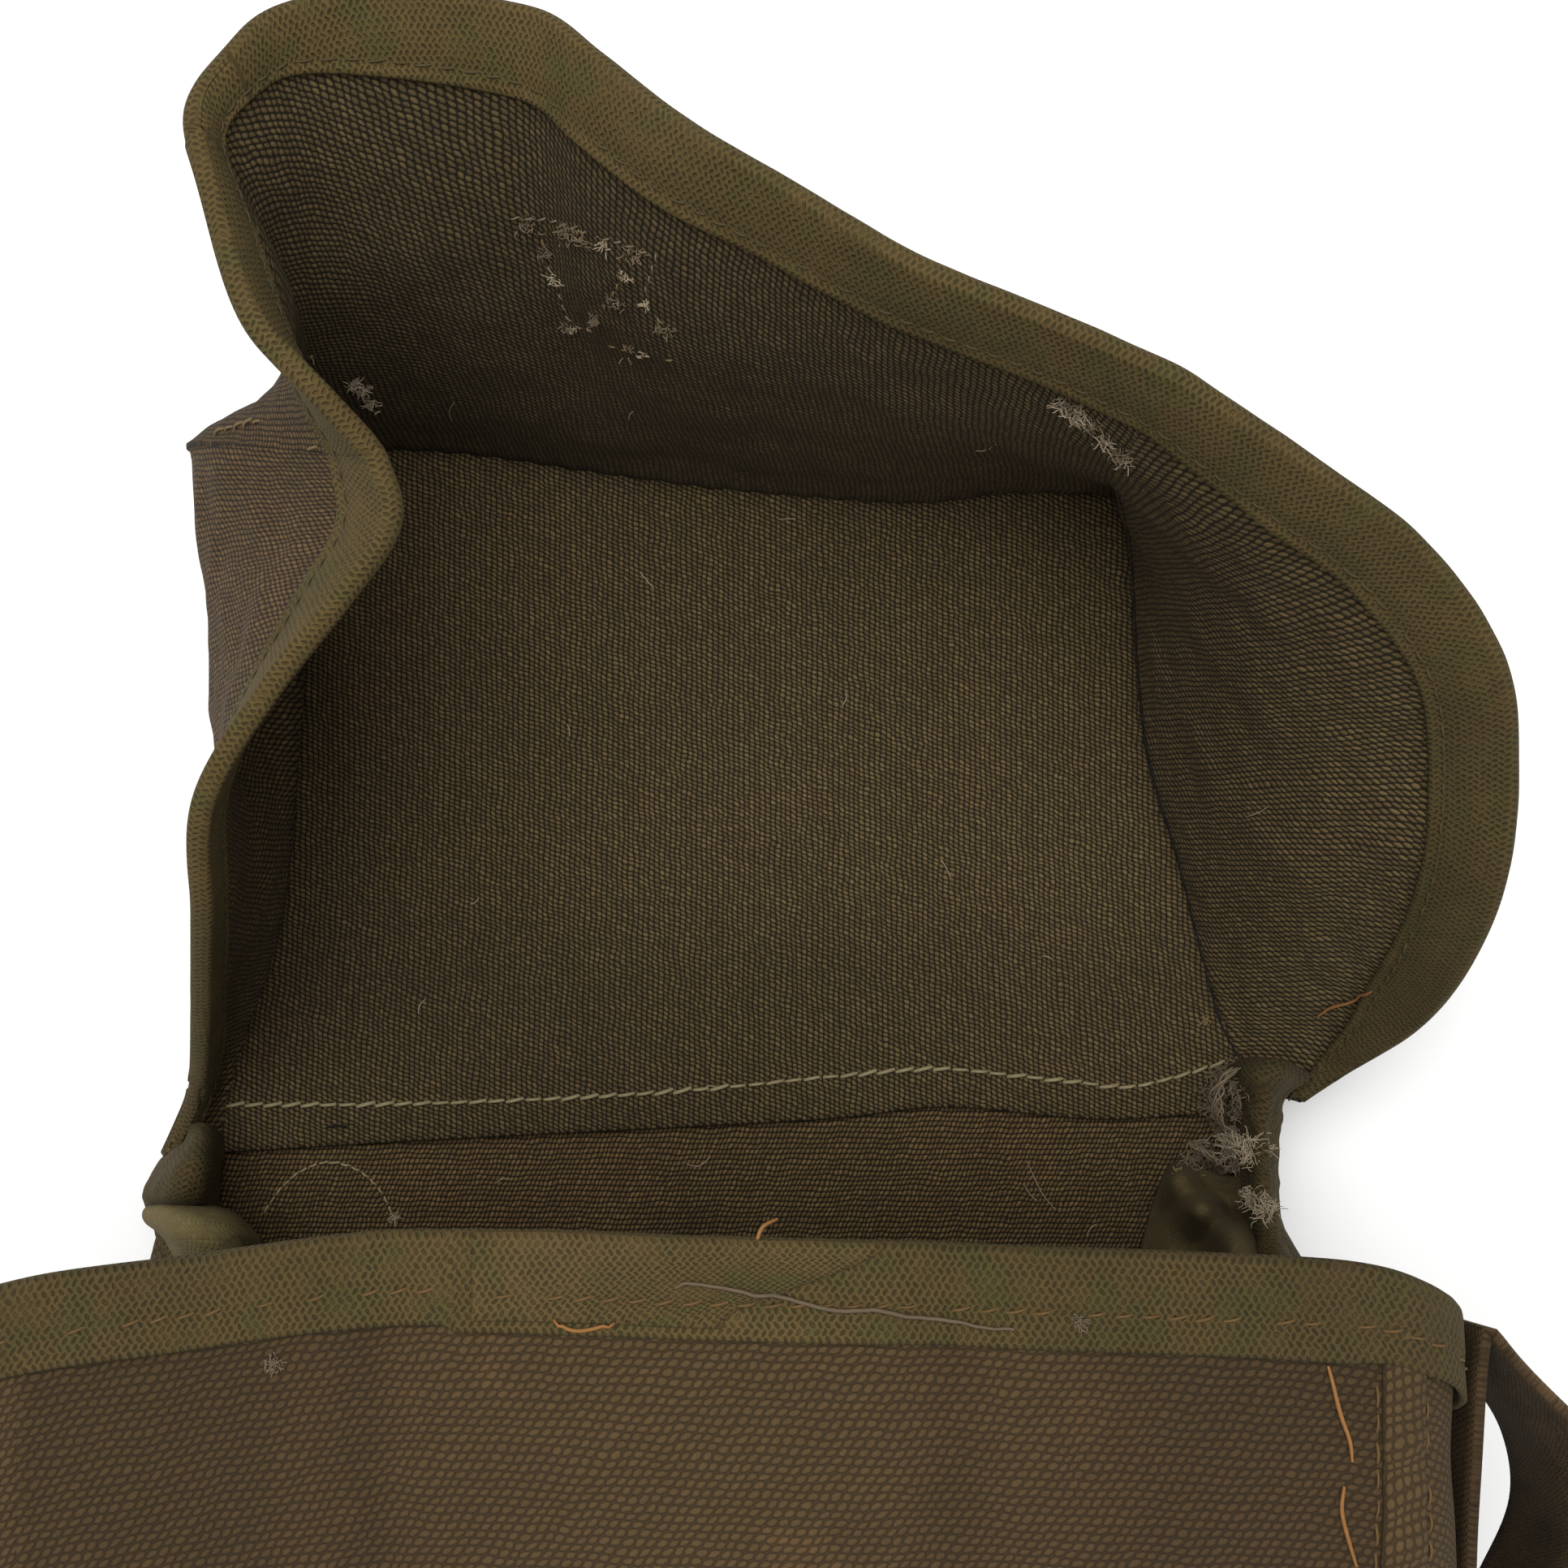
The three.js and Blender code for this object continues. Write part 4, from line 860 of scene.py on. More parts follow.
# Painted shade: the strap webbing's first, near-black colour stands for the face of the strap that lies in
# shadow.
strap_webbing = webbing_finish("strap webbing", (0.02, 0.011, 0.0042), (0.088, 0.052, 0.023), 0.9, 1.0)
strap_rows = [
    (1.044, -0.26, 0.669), (1.044, -0.15, 0.675), (1.046, -0.072, 0.684), (1.06, -0.044, 0.69),
    (1.102, -0.064, 0.69), (1.176, -0.115, 0.684), (1.24, -0.17, 0.66), (1.273, -0.23, 0.612),
    (1.26, -0.3, 0.537), (1.23, -0.39, 0.423), (1.2, -0.55, 0.223), (1.185, -0.76, 0.052),
    (1.19, -1.0, 0.001), (1.16, -1.25, 0), (0.93, -1.5, 0), (0.4, -1.66, 0),
]


def smooth_line(points, count):
    """A smooth line through points, spread evenly by its own length."""
    points = np.array(points, float)
    knots = np.concatenate([[0], np.cumsum(np.sqrt(np.linalg.norm(np.diff(points, axis=0), axis=-1)))])
    rows = {"at": knots, **{axis: points[:, k] for k, axis in enumerate("xyz")}}
    dense = np.linspace(0, knots[-1], count * 6)
    line = np.stack([read(rows, axis, dense) for axis in "xyz"], -1)
    run = run_length(line[:, None], 0)[:, 0]
    return np.stack([np.interp(np.linspace(0, run[-1], count), run, line[:, k]) for k in range(3)], -1)


def strap_cloth():
    on_edge = strap_width / 2 + 0.2
    right = [(x * width / 2, y * height, on_edge + up * depth) for x, y, up in strap_rows]
    left = [(-x, y, z) for x, y, z in right[::-1]]
    line = smooth_line([*right, (0, -1.69 * height, on_edge), *left], 620)
    share = np.linspace(-1, 1, 15)
    middle = np.repeat(line[:, None], 15, axis=1)
    middle[..., 2] += share * strap_width / 2
    from_first, from_last = run_length(line[:, None], 0), run_length(line[::-1, None], 0)[::-1]
    slack = smooth(0, 60, from_first) * smooth(0, 60, from_last)
    run = np.minimum(from_first, from_last)
    sideways = normals_of(middle)
    outward = sideways * np.sign((sideways * (middle - [0, -0.8 * height, 0])).sum(-1, keepdims=True))
    flare = smooth(54, 92, run) * smooth(230, 110, run) * smooth(0, 1.3, share)
    middle = middle + outward * (flare_reach * flare)[..., None] * [1, 0.35, 0]
    middle[..., 2] -= flare_reach / 2 * flare
    middle[..., 1] -= 7 * bump(run, 52, 22) * (1 - share) / 2
    middle = middle + sideways * (slack * (waves(middle, 90, 91, 2) * 0.8 + 0.35 * share**2))[..., None]
    across = np.broadcast_to(share * strap_width / 2, middle.shape[:2])
    flat_map = np.stack([run_length(middle, 0), across], -1)
    # The strap's first face takes that near-black painted shade colour, and its tone paints a highlight on
    # the flared top edge, which faces up.
    cloth(
        "shoulder_strap_webbing", middle, flat_map, strap_thickness, strap_webbing, "strap_webbing",
        ["shoulder_strap"], (0.0, 0.6), 1.7 * flare,
    )
    return middle


strap_middle = strap_cloth()


# The closing tab is sewn outside the lip and hangs down to the table. To close the bag it passes under a
# web keeper on the front wall. A round-topped patch of the same web is sewn under the back wall.
def tab_cloth():
    hang = table(
        "at y z",
        (0, 0, 0), (0.12, 0.028, 0.01), (0.26, 0.062, -0.06), (0.5, 0.07, -0.26), (0.8, 0.06, -0.5),
        (1, 0.062, -0.7),
    )
    u, v = np.meshgrid(np.linspace(0, 1, 22), np.linspace(0, 1, 110), indexing="ij")
    sewn = 0.3
    at, up = 0.405 + 0.11 * u, 0.34 + 0.18 * np.minimum(v / sewn, 1)
    lip_points = lip_panel(at, up)
    climb = lip_panel(at, up + 0.01) - lip_panel(at, up - 0.01)
    across = lip_panel(at + 0.01, up) - lip_panel(at - 0.01, up)
    outward = unit(np.cross(climb, across))
    outward = outward * np.sign(outward[..., 1:2])
    point = lip_points + outward * (canvas / 2 + gap + 1)
    s = np.clip((v - sewn) / (1 - sewn), 0, 1)
    point[..., 1] += read(hang, "y", s) * lid_height
    point[..., 2] -= (point[..., 2] - 1.2) * read(hang, "z", s) / -0.7
    point = point + waves(point, 40, 95)[..., None] * 0.3 * s[..., None] * np.array([0.3, 1, 0])
    flat_map = np.stack([run_length(point, 1), run_length(point, 0)], -1)
    cloth("closing_tab_webbing", point, flat_map, 1.1, edge_webbing, "binding_webbing", ["closing_tab"])
    return point


def keeper_cloth():
    across = np.array([-21, -15, -13.2, -10, 0, 10, 13.2, 15, 21], float)
    rises = np.array([0, 0, 2.2, 3.2, 3.4, 3.2, 2.2, 0, 0])
    around = across / (width / 2 - corner_roll) * front_share
    level = body_surface(around, np.full(9, 0.44))[:, 2] + canvas / 2 + gap + 0.9
    line = smooth_line(np.stack([across, np.full(9, -0.44 * height), level + rises], -1), 90)
    middle = np.repeat(line[:, None], 14, axis=1)
    middle[..., 1] += np.linspace(-8, 8, 14)
    flat_map = np.stack([run_length(middle, 0), run_length(middle, 1)], -1)
    cloth("front_keeper_webbing", middle, flat_map, 1.1, edge_webbing, "binding_webbing", ["front_keeper"])
    return middle


def patch_cloth():
    u, v = np.meshgrid(np.linspace(-1, 1, 30), np.linspace(0.002, 1, 60) ** 1.5, indexing="ij")
    patch_width, patch_length = 30, 0.21 * height
    y = -0.041 * height - v * patch_length
    corner = np.maximum(patch_width / 2 - v * patch_length, 0)
    half = np.sqrt(np.maximum((patch_width / 2) ** 2 - corner**2, 0.3))
    level = np.maximum(back_level(y) - canvas / 2 - 0.55, -0.2)
    middle = np.stack([-0.79 * width / 2 + half * u, y, level], -1)
    flat_map = middle[..., [1, 0]]
    cloth("back_patch_webbing", middle, flat_map, 1, edge_webbing, "binding_webbing", ["back_patch"])


tab_middle = tab_cloth()
keeper_middle = keeper_cloth()
patch_cloth()

# Beside the hinge the canvas and the webbing are worn and crumpled. Each fold there is drawn from the
# photograph: rows of places in its pixels, each with a height over the table in millimetres.
def resampled(grid, count):
    """A grid with more rows, smooth through its own."""
    at = np.linspace(0, len(grid) - 1, count)
    knots = np.arange(len(grid), dtype=float)
    columns = [read({"at": knots, "value": column}, "value", at) for column in grid.reshape(len(grid), -1).T]
    return np.stack(columns, -1).reshape(count, *grid.shape[1:])


def from_pixels(places):
    """Picture pixels with heights in millimetres, as points in millimetres from the hinge."""
    places = np.array(places, float)
    reach = (camera_place.z * 1000 - places[..., 2]) / pixels_per_slope
    x = camera_place.x * 1000 + (places[..., 0] - picture_middle) * reach
    y = camera_place.y * 1000 - rest_to_hinge - (places[..., 1] - picture_middle) * reach
    return np.stack([x, y, places[..., 2]], -1)


def drawn_fold(name, rows, thickness, material, slot, worn, tone_and_painted_light, crumple=0.3):
    grid = resampled(from_pixels(rows), 40)
    middle = resampled(grid.transpose(1, 0, 2), 36)
    middle = middle + normals_of(middle) * (waves(middle, 9, 97) * crumple)[..., None]
    flat_map = np.stack([run_length(middle, 1), run_length(middle, 0)], -1)
    u, v = np.meshgrid(np.linspace(0, 1, 36), np.linspace(0, 1, 40), indexing="ij")
    # Painted shade: each fold is painted darker towards its first and last rows.
    shade = tone_and_painted_light - 0.25 * (1 - smooth(0, 0.12, v)) - 0.15 * (1 - smooth(0, 0.12, 1 - v))
    cloth(name, middle, flat_map, thickness, material, slot, [], worn, shade)


left_webbing_fold = [
    [(229, 1392, 16), (240, 1386, 26), (256, 1388, 25), (272, 1398, 12)],
    [(222, 1412, 18), (238, 1408, 33), (258, 1410, 31), (272, 1420, 14)],
    [(203, 1427, 20), (228, 1424, 37), (256, 1428, 35), (270, 1438, 15)],
    [(186, 1452, 22), (218, 1448, 39), (252, 1452, 37), (268, 1460, 16)],
    [(178, 1474, 22), (208, 1474, 38), (246, 1476, 36), (268, 1482, 18)],
    [(184, 1488, 16), (210, 1490, 28), (245, 1492, 28), (270, 1496, 18)],
]
left_ear = [
    [(191, 1487, 22), (208, 1485, 28), (245, 1487, 29), (282, 1495, 24), (300, 1508, 14)],
    [(180, 1493, 27), (205, 1491, 36), (246, 1494, 38), (288, 1503, 33), (310, 1518, 18)],
    [(182, 1504, 29), (208, 1505, 40), (248, 1508, 43), (292, 1516, 37), (318, 1528, 20)],
    [(196, 1514, 32), (216, 1518, 42), (252, 1523, 44), (292, 1528, 38), (318, 1538, 21)],
    [(208, 1528, 30), (224, 1533, 40), (256, 1540, 42), (290, 1544, 37), (314, 1550, 21)],
    [(212, 1550, 26), (230, 1557, 34), (258, 1562, 36), (288, 1564, 32), (312, 1564, 20)],
]
right_webbing_fold = [
    [(1502, 1322, 13), (1532, 1306, 26), (1572, 1306, 34), (1612, 1322, 24)],
    [(1506, 1338, 13), (1532, 1328, 29), (1566, 1326, 34), (1598, 1337, 24)],
    [(1512, 1358, 14), (1536, 1352, 27), (1560, 1352, 31), (1580, 1358, 22)],
    [(1522, 1395, 15), (1541, 1392, 28), (1558, 1392, 31), (1573, 1395, 22)],
    [(1528, 1440, 18), (1545, 1440, 33), (1560, 1440, 35), (1572, 1440, 25)],
    [(1532, 1500, 24), (1550, 1500, 39), (1566, 1500, 41), (1578, 1500, 31)],
    [(1535, 1565, 32), (1562, 1565, 48), (1588, 1565, 50), (1610, 1565, 40)],
]
right_canvas_fold = [
    [(1442, 1438, 13), (1458, 1434, 17), (1482, 1442, 19), (1512, 1452, 21), (1548, 1452, 26)],
    [(1430, 1466, 13), (1452, 1456, 27), (1484, 1470, 22), (1514, 1478, 22), (1550, 1482, 28)],
    [(1420, 1494, 13), (1448, 1492, 21), (1480, 1490, 37), (1516, 1500, 25), (1552, 1508, 32)],
    [(1412, 1526, 13), (1444, 1530, 20), (1484, 1526, 26), (1516, 1522, 44), (1554, 1530, 36)],
    [(1404, 1566, 13), (1440, 1568, 22), (1486, 1566, 28), (1530, 1562, 50), (1560, 1566, 42)],
]
ear_olive = (0.082, 0.062, 0.027)
# Painted shade: the right gusset's fold inside the mouth corner gets a darker copy of the olive duck.
fold_olive_painted_shade = (0.046, 0.033, 0.0145)
ear_duck = canvas_finish("rubbed duck", ear_olive, ear_olive, *duck_pitches, 0.3, 0.8, 0.2)
fold_duck_painted_shade = canvas_finish("creased duck, painted shade", fold_olive_painted_shade, fold_olive_painted_shade, *duck_pitches, 0.2, 0.85, 0.2)
folded_web = (webbing, edge_webbing, "binding_webbing", (0, 0))
drawn_fold("left_hinge_webbing", left_webbing_fold, *folded_web, -0.12)
drawn_fold("left_gusset_ear", left_ear, canvas, ear_duck, "outer_canvas", (1, 1), 0.1, 0.12)
# Painted shade: the right hinge webbing's tone of -0.2 darkens it where it lies in shadow.
drawn_fold("right_hinge_webbing", right_webbing_fold, *folded_web, -0.2, 0.5)
drawn_fold("right_gusset_fold", right_canvas_fold, canvas, fold_duck_painted_shade, "outer_canvas", (0, 0), -0.05, 0.12)


# The mouth's webbing is joined near its middle: one end laps over the other on the outer face, is cut off
# slanting and is held by the binding's own stitches.
def lap_cloth():
    outer_columns = np.arange(21, mouth_grid.shape[1] - 2)
    start, low_end, high_end = -0.141, 0.009, 0.106
    rows = []
    for rank, column in enumerate(outer_columns):
        far = high_end + (low_end - high_end) * smooth(0, 1, rank / (len(outer_columns) - 1))
        shares = np.linspace(start, far, 120)
        places = [np.interp(shares, mouth_along, mouth_grid[:, column, k]) for k in range(3)]
        rows.append(np.stack(places, -1))
    middle = np.array(rows).transpose(1, 0, 2)
    outward = normals_of(middle)
    outward = outward * np.sign(outward[..., 2:3])
    middle = middle + outward * 0.75
    flat_map = np.stack([run_length(middle, 0), run_length(middle, 1)], -1)
    # Painted shade darkens the lap's cut end, and the rest of the lap is a little lighter.
    tone_and_painted_light = 0.22 - 0.2 * bump(np.arange(120), 119, 3)[:, None] + np.zeros(middle.shape[:2])
    cloth("mouth_webbing_lap", middle, flat_map, 0.8, edge_webbing, "binding_webbing", [], (0.1, 0.1), tone_and_painted_light)


lap_cloth()


# Thread: stout twisted cotton, pale on the flap's hinge, rusty orange where the bag's edges were sewn, and
# grey where it was mended. Torn yarn and lint are made in the same way, but much thinner.
def thread_finish(name, colour, twist=1.0):
    material = bpy.data.materials.new(name)
    material.use_nodes = True
    tree = material.node_tree
    surface = tree.nodes["Principled BSDF"]
    surface.inputs["Roughness"].default_value = 0.8
    surface.inputs["Specular IOR Level"].default_value = 0.25
    place = tree.nodes.new("ShaderNodeTexCoord")
    grain = tree.nodes.new("ShaderNodeTexNoise")
    grain.inputs["Scale"].default_value = 1400
    grain.inputs["Detail"].default_value = 2
    spread = tree.nodes.new("ShaderNodeTexNoise")
    spread.inputs["Scale"].default_value = 160
    for noise in (grain, spread):
        tree.links.new(place.outputs["Object"], noise.inputs["Vector"])
    blend = tree.nodes.new("ShaderNodeMix")
    blend.data_type = "RGBA"
    blend.inputs[6].default_value = (*(c * 0.55 for c in colour), 1)
    blend.inputs[7].default_value = (*(min(c * 1.35, 1) for c in colour), 1)
    total = tree.nodes.new("ShaderNodeMath")
    total.operation = "MULTIPLY_ADD"
    total.inputs[1].default_value = 0.5 * twist
    tree.links.new(grain.outputs[0], total.inputs[0])
    half = tree.nodes.new("ShaderNodeMath")
    half.operation = "MULTIPLY"
    half.inputs[1].default_value = 0.5
    tree.links.new(spread.outputs[0], half.inputs[0])
    tree.links.new(half.outputs[0], total.inputs[2])
    tree.links.new(total.outputs[0], blend.inputs[0])
    tree.links.new(blend.outputs[2], surface.inputs["Base Color"])
    bump_node = tree.nodes.new("ShaderNodeBump")
    bump_node.inputs["Distance"].default_value = 0.0001
    tree.links.new(grain.outputs[0], bump_node.inputs["Height"])
    tree.links.new(bump_node.outputs[0], surface.inputs["Normal"])
    return material


pale_thread = thread_finish("pale thread", (0.25, 0.205, 0.11))
rust_thread = thread_finish("rusty thread", (0.11, 0.063, 0.021))
# A near-black thread that paints shadow, in the hem's slit and in the lid's seams.
painted_shadow_thread = thread_finish("painted_shadow_line", (0.006, 0.005, 0.004))
orange_thread = thread_finish("orange thread", (0.24, 0.108, 0.032))
grey_thread = thread_finish("grey mending thread", (0.105, 0.076, 0.045))
torn_yarn = thread_finish("torn canvas yarn", (0.15, 0.112, 0.07), 1.3)
olive_thread = thread_finish("olive thread", (0.062, 0.047, 0.02))
ochre_thread = thread_finish("ochre thread", (0.17, 0.115, 0.05))
white_yarn = thread_finish("torn white yarn", (0.34, 0.27, 0.185), 1.3)


def put_nodes(tree, kinds):
    """Adds nodes by short name: (kind, settings, {input name: value})."""
    made = {}
    for label, (kind, settings, values) in kinds.items():
        node = tree.nodes.new(kind)
        for key, value in settings.items():
            setattr(node, key, value)
        for key, value in values.items():
            node.inputs[key].default_value = value
        made[label] = node
    return made


def tree_with(name, sockets):
    tree = bpy.data.node_groups.new(name, "GeometryNodeTree")
    tree.interface.new_socket("Geometry", in_out="INPUT", socket_type="NodeSocketGeometry")
    for label, kind in sockets:
        tree.interface.new_socket(label, in_out="INPUT", socket_type=kind)
    tree.interface.new_socket("Geometry", in_out="OUTPUT", socket_type="NodeSocketGeometry")
    return tree


def sewn_row_tree():
    """Stitches along a line: one arched thread at each step, along the line and standing on the cloth."""
    numbers = ("Pitch", "Length", "Thickness", "Sink", "Slant", "Missing")
    sockets = [(label, "NodeSocketFloat") for label in numbers]
    tree = tree_with("sewn row", [*sockets, ("Seed", "NodeSocketInt"), ("Thread", "NodeSocketMaterial")])
    n = put_nodes(tree, {
        "in": ("NodeGroupInput", {}, {}),
        "line": ("GeometryNodeMeshToCurve", {}, {}),
        "steps": ("GeometryNodeResampleCurve", {}, {}),
        "tangent": ("GeometryNodeInputTangent", {}, {}),
        "lay": ("GeometryNodeInputNamedAttribute", {"data_type": "FLOAT_VECTOR"}, {"Name": "lay"}),
        "along": ("FunctionNodeAlignRotationToVector", {"axis": "X"}, {}),
        "stand": ("FunctionNodeAlignRotationToVector", {"axis": "Z", "pivot_axis": "X"}, {}),
        "turn": ("FunctionNodeRotateRotation", {"rotation_space": "LOCAL"}, {}),
        "slant": ("ShaderNodeCombineXYZ", {}, {}),
        "slant_to_turn": ("FunctionNodeEulerToRotation", {}, {}),
        "uneven": ("FunctionNodeRandomValue", {"data_type": "FLOAT"}, {}),
        "sway": ("ShaderNodeMath", {"operation": "ADD"}, {}),
        "kept": ("FunctionNodeRandomValue", {"data_type": "FLOAT"}, {}),
        "shown": ("FunctionNodeCompare", {"data_type": "FLOAT", "operation": "GREATER_THAN"}, {}),
        "half": ("ShaderNodeMath", {"operation": "MULTIPLY"}, {1: 0.5}),
        "minus": ("ShaderNodeMath", {"operation": "MULTIPLY"}, {1: -0.5}),
        "down": ("ShaderNodeMath", {"operation": "MULTIPLY"}, {1: -1.0}),
        "high": ("ShaderNodeMath", {"operation": "MULTIPLY"}, {1: 1.7}),
        "radius": ("ShaderNodeMath", {"operation": "MULTIPLY"}, {1: 0.5}),
        "from": ("ShaderNodeCombineXYZ", {}, {}),
        "over": ("ShaderNodeCombineXYZ", {}, {}),
        "to": ("ShaderNodeCombineXYZ", {}, {}),
        "arch": ("GeometryNodeCurveQuadraticBezier", {}, {"Resolution": 7}),
        "ring": ("GeometryNodeCurvePrimitiveCircle", {}, {"Resolution": 6}),
        "stitch": ("GeometryNodeCurveToMesh", {}, {"Fill Caps": True}),
        "size": ("FunctionNodeRandomValue", {"data_type": "FLOAT"}, {}),
        "place": ("GeometryNodeInstanceOnPoints", {}, {}),
        "real": ("GeometryNodeRealizeInstances", {}, {}),
        "soft": ("GeometryNodeSetShadeSmooth", {}, {}),
        "dye": ("GeometryNodeSetMaterial", {}, {}),
        "out": ("NodeGroupOutput", {}, {}),
    })
    n["steps"].mode = "LENGTH"
    value_out = {}
    for label, low, high in [("uneven", -0.12, 0.12), ("kept", 0.0, 1.0), ("size", 0.84, 1.08)]:
        lowest, highest = [s for s in n[label].inputs if s.type == "VALUE"][:2]
        lowest.default_value = low
        highest.default_value = high
        value_out[label] = [s for s in n[label].outputs if s.type == "VALUE"][0]
    vector_of = [s for s in n["lay"].outputs if s.enabled][0]
    compared = [s for s in n["shown"].inputs if s.type == "VALUE" and s.enabled]
    links = [
        (n["in"].outputs["Geometry"], n["line"].inputs[0]),
        (n["line"].outputs[0], n["steps"].inputs["Curve"]),
        (n["in"].outputs["Pitch"], n["steps"].inputs["Length"]),
        (n["tangent"].outputs[0], n["along"].inputs["Vector"]),
        (n["along"].outputs[0], n["stand"].inputs["Rotation"]),
        (vector_of, n["stand"].inputs["Vector"]),
        (n["stand"].outputs[0], n["turn"].inputs["Rotation"]),
        (n["in"].outputs["Slant"], n["sway"].inputs[0]),
        (value_out["uneven"], n["sway"].inputs[1]),
        (n["sway"].outputs[0], n["slant"].inputs[2]),
        (n["slant"].outputs[0], n["slant_to_turn"].inputs[0]),
        (n["slant_to_turn"].outputs[0], n["turn"].inputs["Rotate By"]),
        (value_out["kept"], compared[0]),
        (n["in"].outputs["Missing"], compared[1]),
        (n["in"].outputs["Length"], n["half"].inputs[0]),
        (n["in"].outputs["Length"], n["minus"].inputs[0]),
        (n["in"].outputs["Sink"], n["down"].inputs[0]),
        (n["in"].outputs["Thickness"], n["high"].inputs[0]),
        (n["in"].outputs["Thickness"], n["radius"].inputs[0]),
        (n["minus"].outputs[0], n["from"].inputs[0]),
        (n["down"].outputs[0], n["from"].inputs[2]),
        (n["high"].outputs[0], n["over"].inputs[2]),
        (n["half"].outputs[0], n["to"].inputs[0]),
        (n["down"].outputs[0], n["to"].inputs[2]),
        (n["from"].outputs[0], n["arch"].inputs["Start"]),
        (n["over"].outputs[0], n["arch"].inputs["Middle"]),
        (n["to"].outputs[0], n["arch"].inputs["End"]),
        (n["radius"].outputs[0], n["ring"].inputs["Radius"]),
        (n["arch"].outputs[0], n["stitch"].inputs["Curve"]),
        (n["ring"].outputs[0], n["stitch"].inputs["Profile Curve"]),
        (n["steps"].outputs[0], n["place"].inputs["Points"]),
        (n["shown"].outputs[0], n["place"].inputs["Selection"]),
        (n["stitch"].outputs[0], n["place"].inputs["Instance"]),
        (n["turn"].outputs[0], n["place"].inputs["Rotation"]),
        (value_out["size"], n["place"].inputs["Scale"]),
        (n["place"].outputs[0], n["real"].inputs[0]),
        (n["real"].outputs[0], n["soft"].inputs["Geometry"]),
        (n["soft"].outputs[0], n["dye"].inputs["Geometry"]),
        (n["in"].outputs["Thread"], n["dye"].inputs["Material"]),
        (n["dye"].outputs[0], n["out"].inputs[0]),
    ]
    links += [(n["in"].outputs["Seed"], n[label].inputs["Seed"]) for label in value_out]
    for start, end in links:
        tree.links.new(start, end)
    return tree


def thread_tree():
    """Loose thread along a line, thinner where its girth says so."""
    tree = tree_with("loose thread", [("Radius", "NodeSocketFloat"), ("Thread", "NodeSocketMaterial")])
    n = put_nodes(tree, {
        "in": ("NodeGroupInput", {}, {}),
        "line": ("GeometryNodeMeshToCurve", {}, {}),
        "girth": ("GeometryNodeInputNamedAttribute", {"data_type": "FLOAT"}, {"Name": "girth"}),
        "thin": ("GeometryNodeSetCurveRadius", {}, {}),
        "ring": ("GeometryNodeCurvePrimitiveCircle", {}, {"Resolution": 5}),
        "tube": ("GeometryNodeCurveToMesh", {}, {"Fill Caps": True}),
        "real": ("GeometryNodeRealizeInstances", {}, {}),
        "soft": ("GeometryNodeSetShadeSmooth", {}, {}),
        "dye": ("GeometryNodeSetMaterial", {}, {}),
        "out": ("NodeGroupOutput", {}, {}),
    })
    girth = [s for s in n["girth"].outputs if s.enabled][0]
    links = [
        (n["in"].outputs["Geometry"], n["line"].inputs[0]),
        (n["line"].outputs[0], n["thin"].inputs["Curve"]),
        (girth, n["thin"].inputs["Radius"]),
        (n["in"].outputs["Radius"], n["ring"].inputs["Radius"]),
        (n["thin"].outputs[0], n["tube"].inputs["Curve"]),
        (n["ring"].outputs[0], n["tube"].inputs["Profile Curve"]),
        (n["tube"].outputs[0], n["real"].inputs[0]),
        (n["real"].outputs[0], n["soft"].inputs["Geometry"]),
        (n["soft"].outputs[0], n["dye"].inputs["Geometry"]),
        (n["in"].outputs["Thread"], n["dye"].inputs["Material"]),
        (n["dye"].outputs[0], n["out"].inputs[0]),
    ]
    for start, end in links:
        tree.links.new(start, end)
    if "Scale" in n["tube"].inputs:
        tree.links.new(girth, n["tube"].inputs["Scale"])
    return tree


sewn_row = sewn_row_tree()
loose_thread = thread_tree()


def grown(name, tree, lines, values, label, kind):
    """Runs a tree over lines of points in metres, with a value for each point, and keeps its plain mesh."""
    points, edges, extra = [], [], []
    for line, more in lines:
        first = len(points)
        points += [tuple(p) for p in line]
        edges += [(first + k, first + k + 1) for k in range(len(line) - 1)]
        extra.append(np.array(more, np.float32).ravel())
    mesh = bpy.data.meshes.new(name + " line")
    mesh.from_pydata(points, edges, [])
    stored = mesh.attributes.new(label, kind, "POINT")
    stored.data.foreach_set("vector" if kind == "FLOAT_VECTOR" else "value", np.concatenate(extra))
    piece = bpy.data.objects.new(name, mesh)
    bpy.context.scene.collection.objects.link(piece)
    modifier = piece.modifiers.new("sewing", "NODES")
    modifier.node_group = tree
    for item in tree.interface.items_tree:
        if item.in_out == "INPUT" and item.name in values:
            modifier[item.identifier] = values[item.name]
    bpy.context.view_layer.update()
    evaluated = piece.evaluated_get(bpy.context.evaluated_depsgraph_get())
    final = bpy.data.meshes.new_from_object(evaluated)
    piece.modifiers.clear()
    piece.data = final
    final.name = name
    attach(piece, "root")
    return piece


def in_frame(points):
    return (np.array(points, float) + [0, rest_to_hinge, 0]) / 1000


stitch_sink = 0.35


def sewn(name, lines, material, seed, length, thickness, pitch=stitch_pitch, slant=0.0, missing=0.0):
    """Rows of stitches along lines of millimetre points with the cloth's normals."""
    sizes = {"Pitch": pitch, "Length": length, "Thickness": thickness, "Sink": stitch_sink}
    values = {label: size / 1000 for label, size in sizes.items()}
    values.update({"Slant": slant, "Missing": missing, "Seed": seed, "Thread": material})
    return grown(name, sewn_row, [(in_frame(p), n) for p, n in lines], values, "lay", "FLOAT_VECTOR")


def threads(name, lines, material, radius):
    """Loose threads along lines of millimetre points, tapering at their ends."""
    rows = []
    for line in lines:
        taper = np.sin(np.linspace(0.12, 0.88, len(line)) * math.pi) ** 0.4
        rows.append((in_frame(line), taper))
    return grown(name, loose_thread, rows, {"Radius": radius / 1000, "Thread": material}, "girth", "FLOAT")


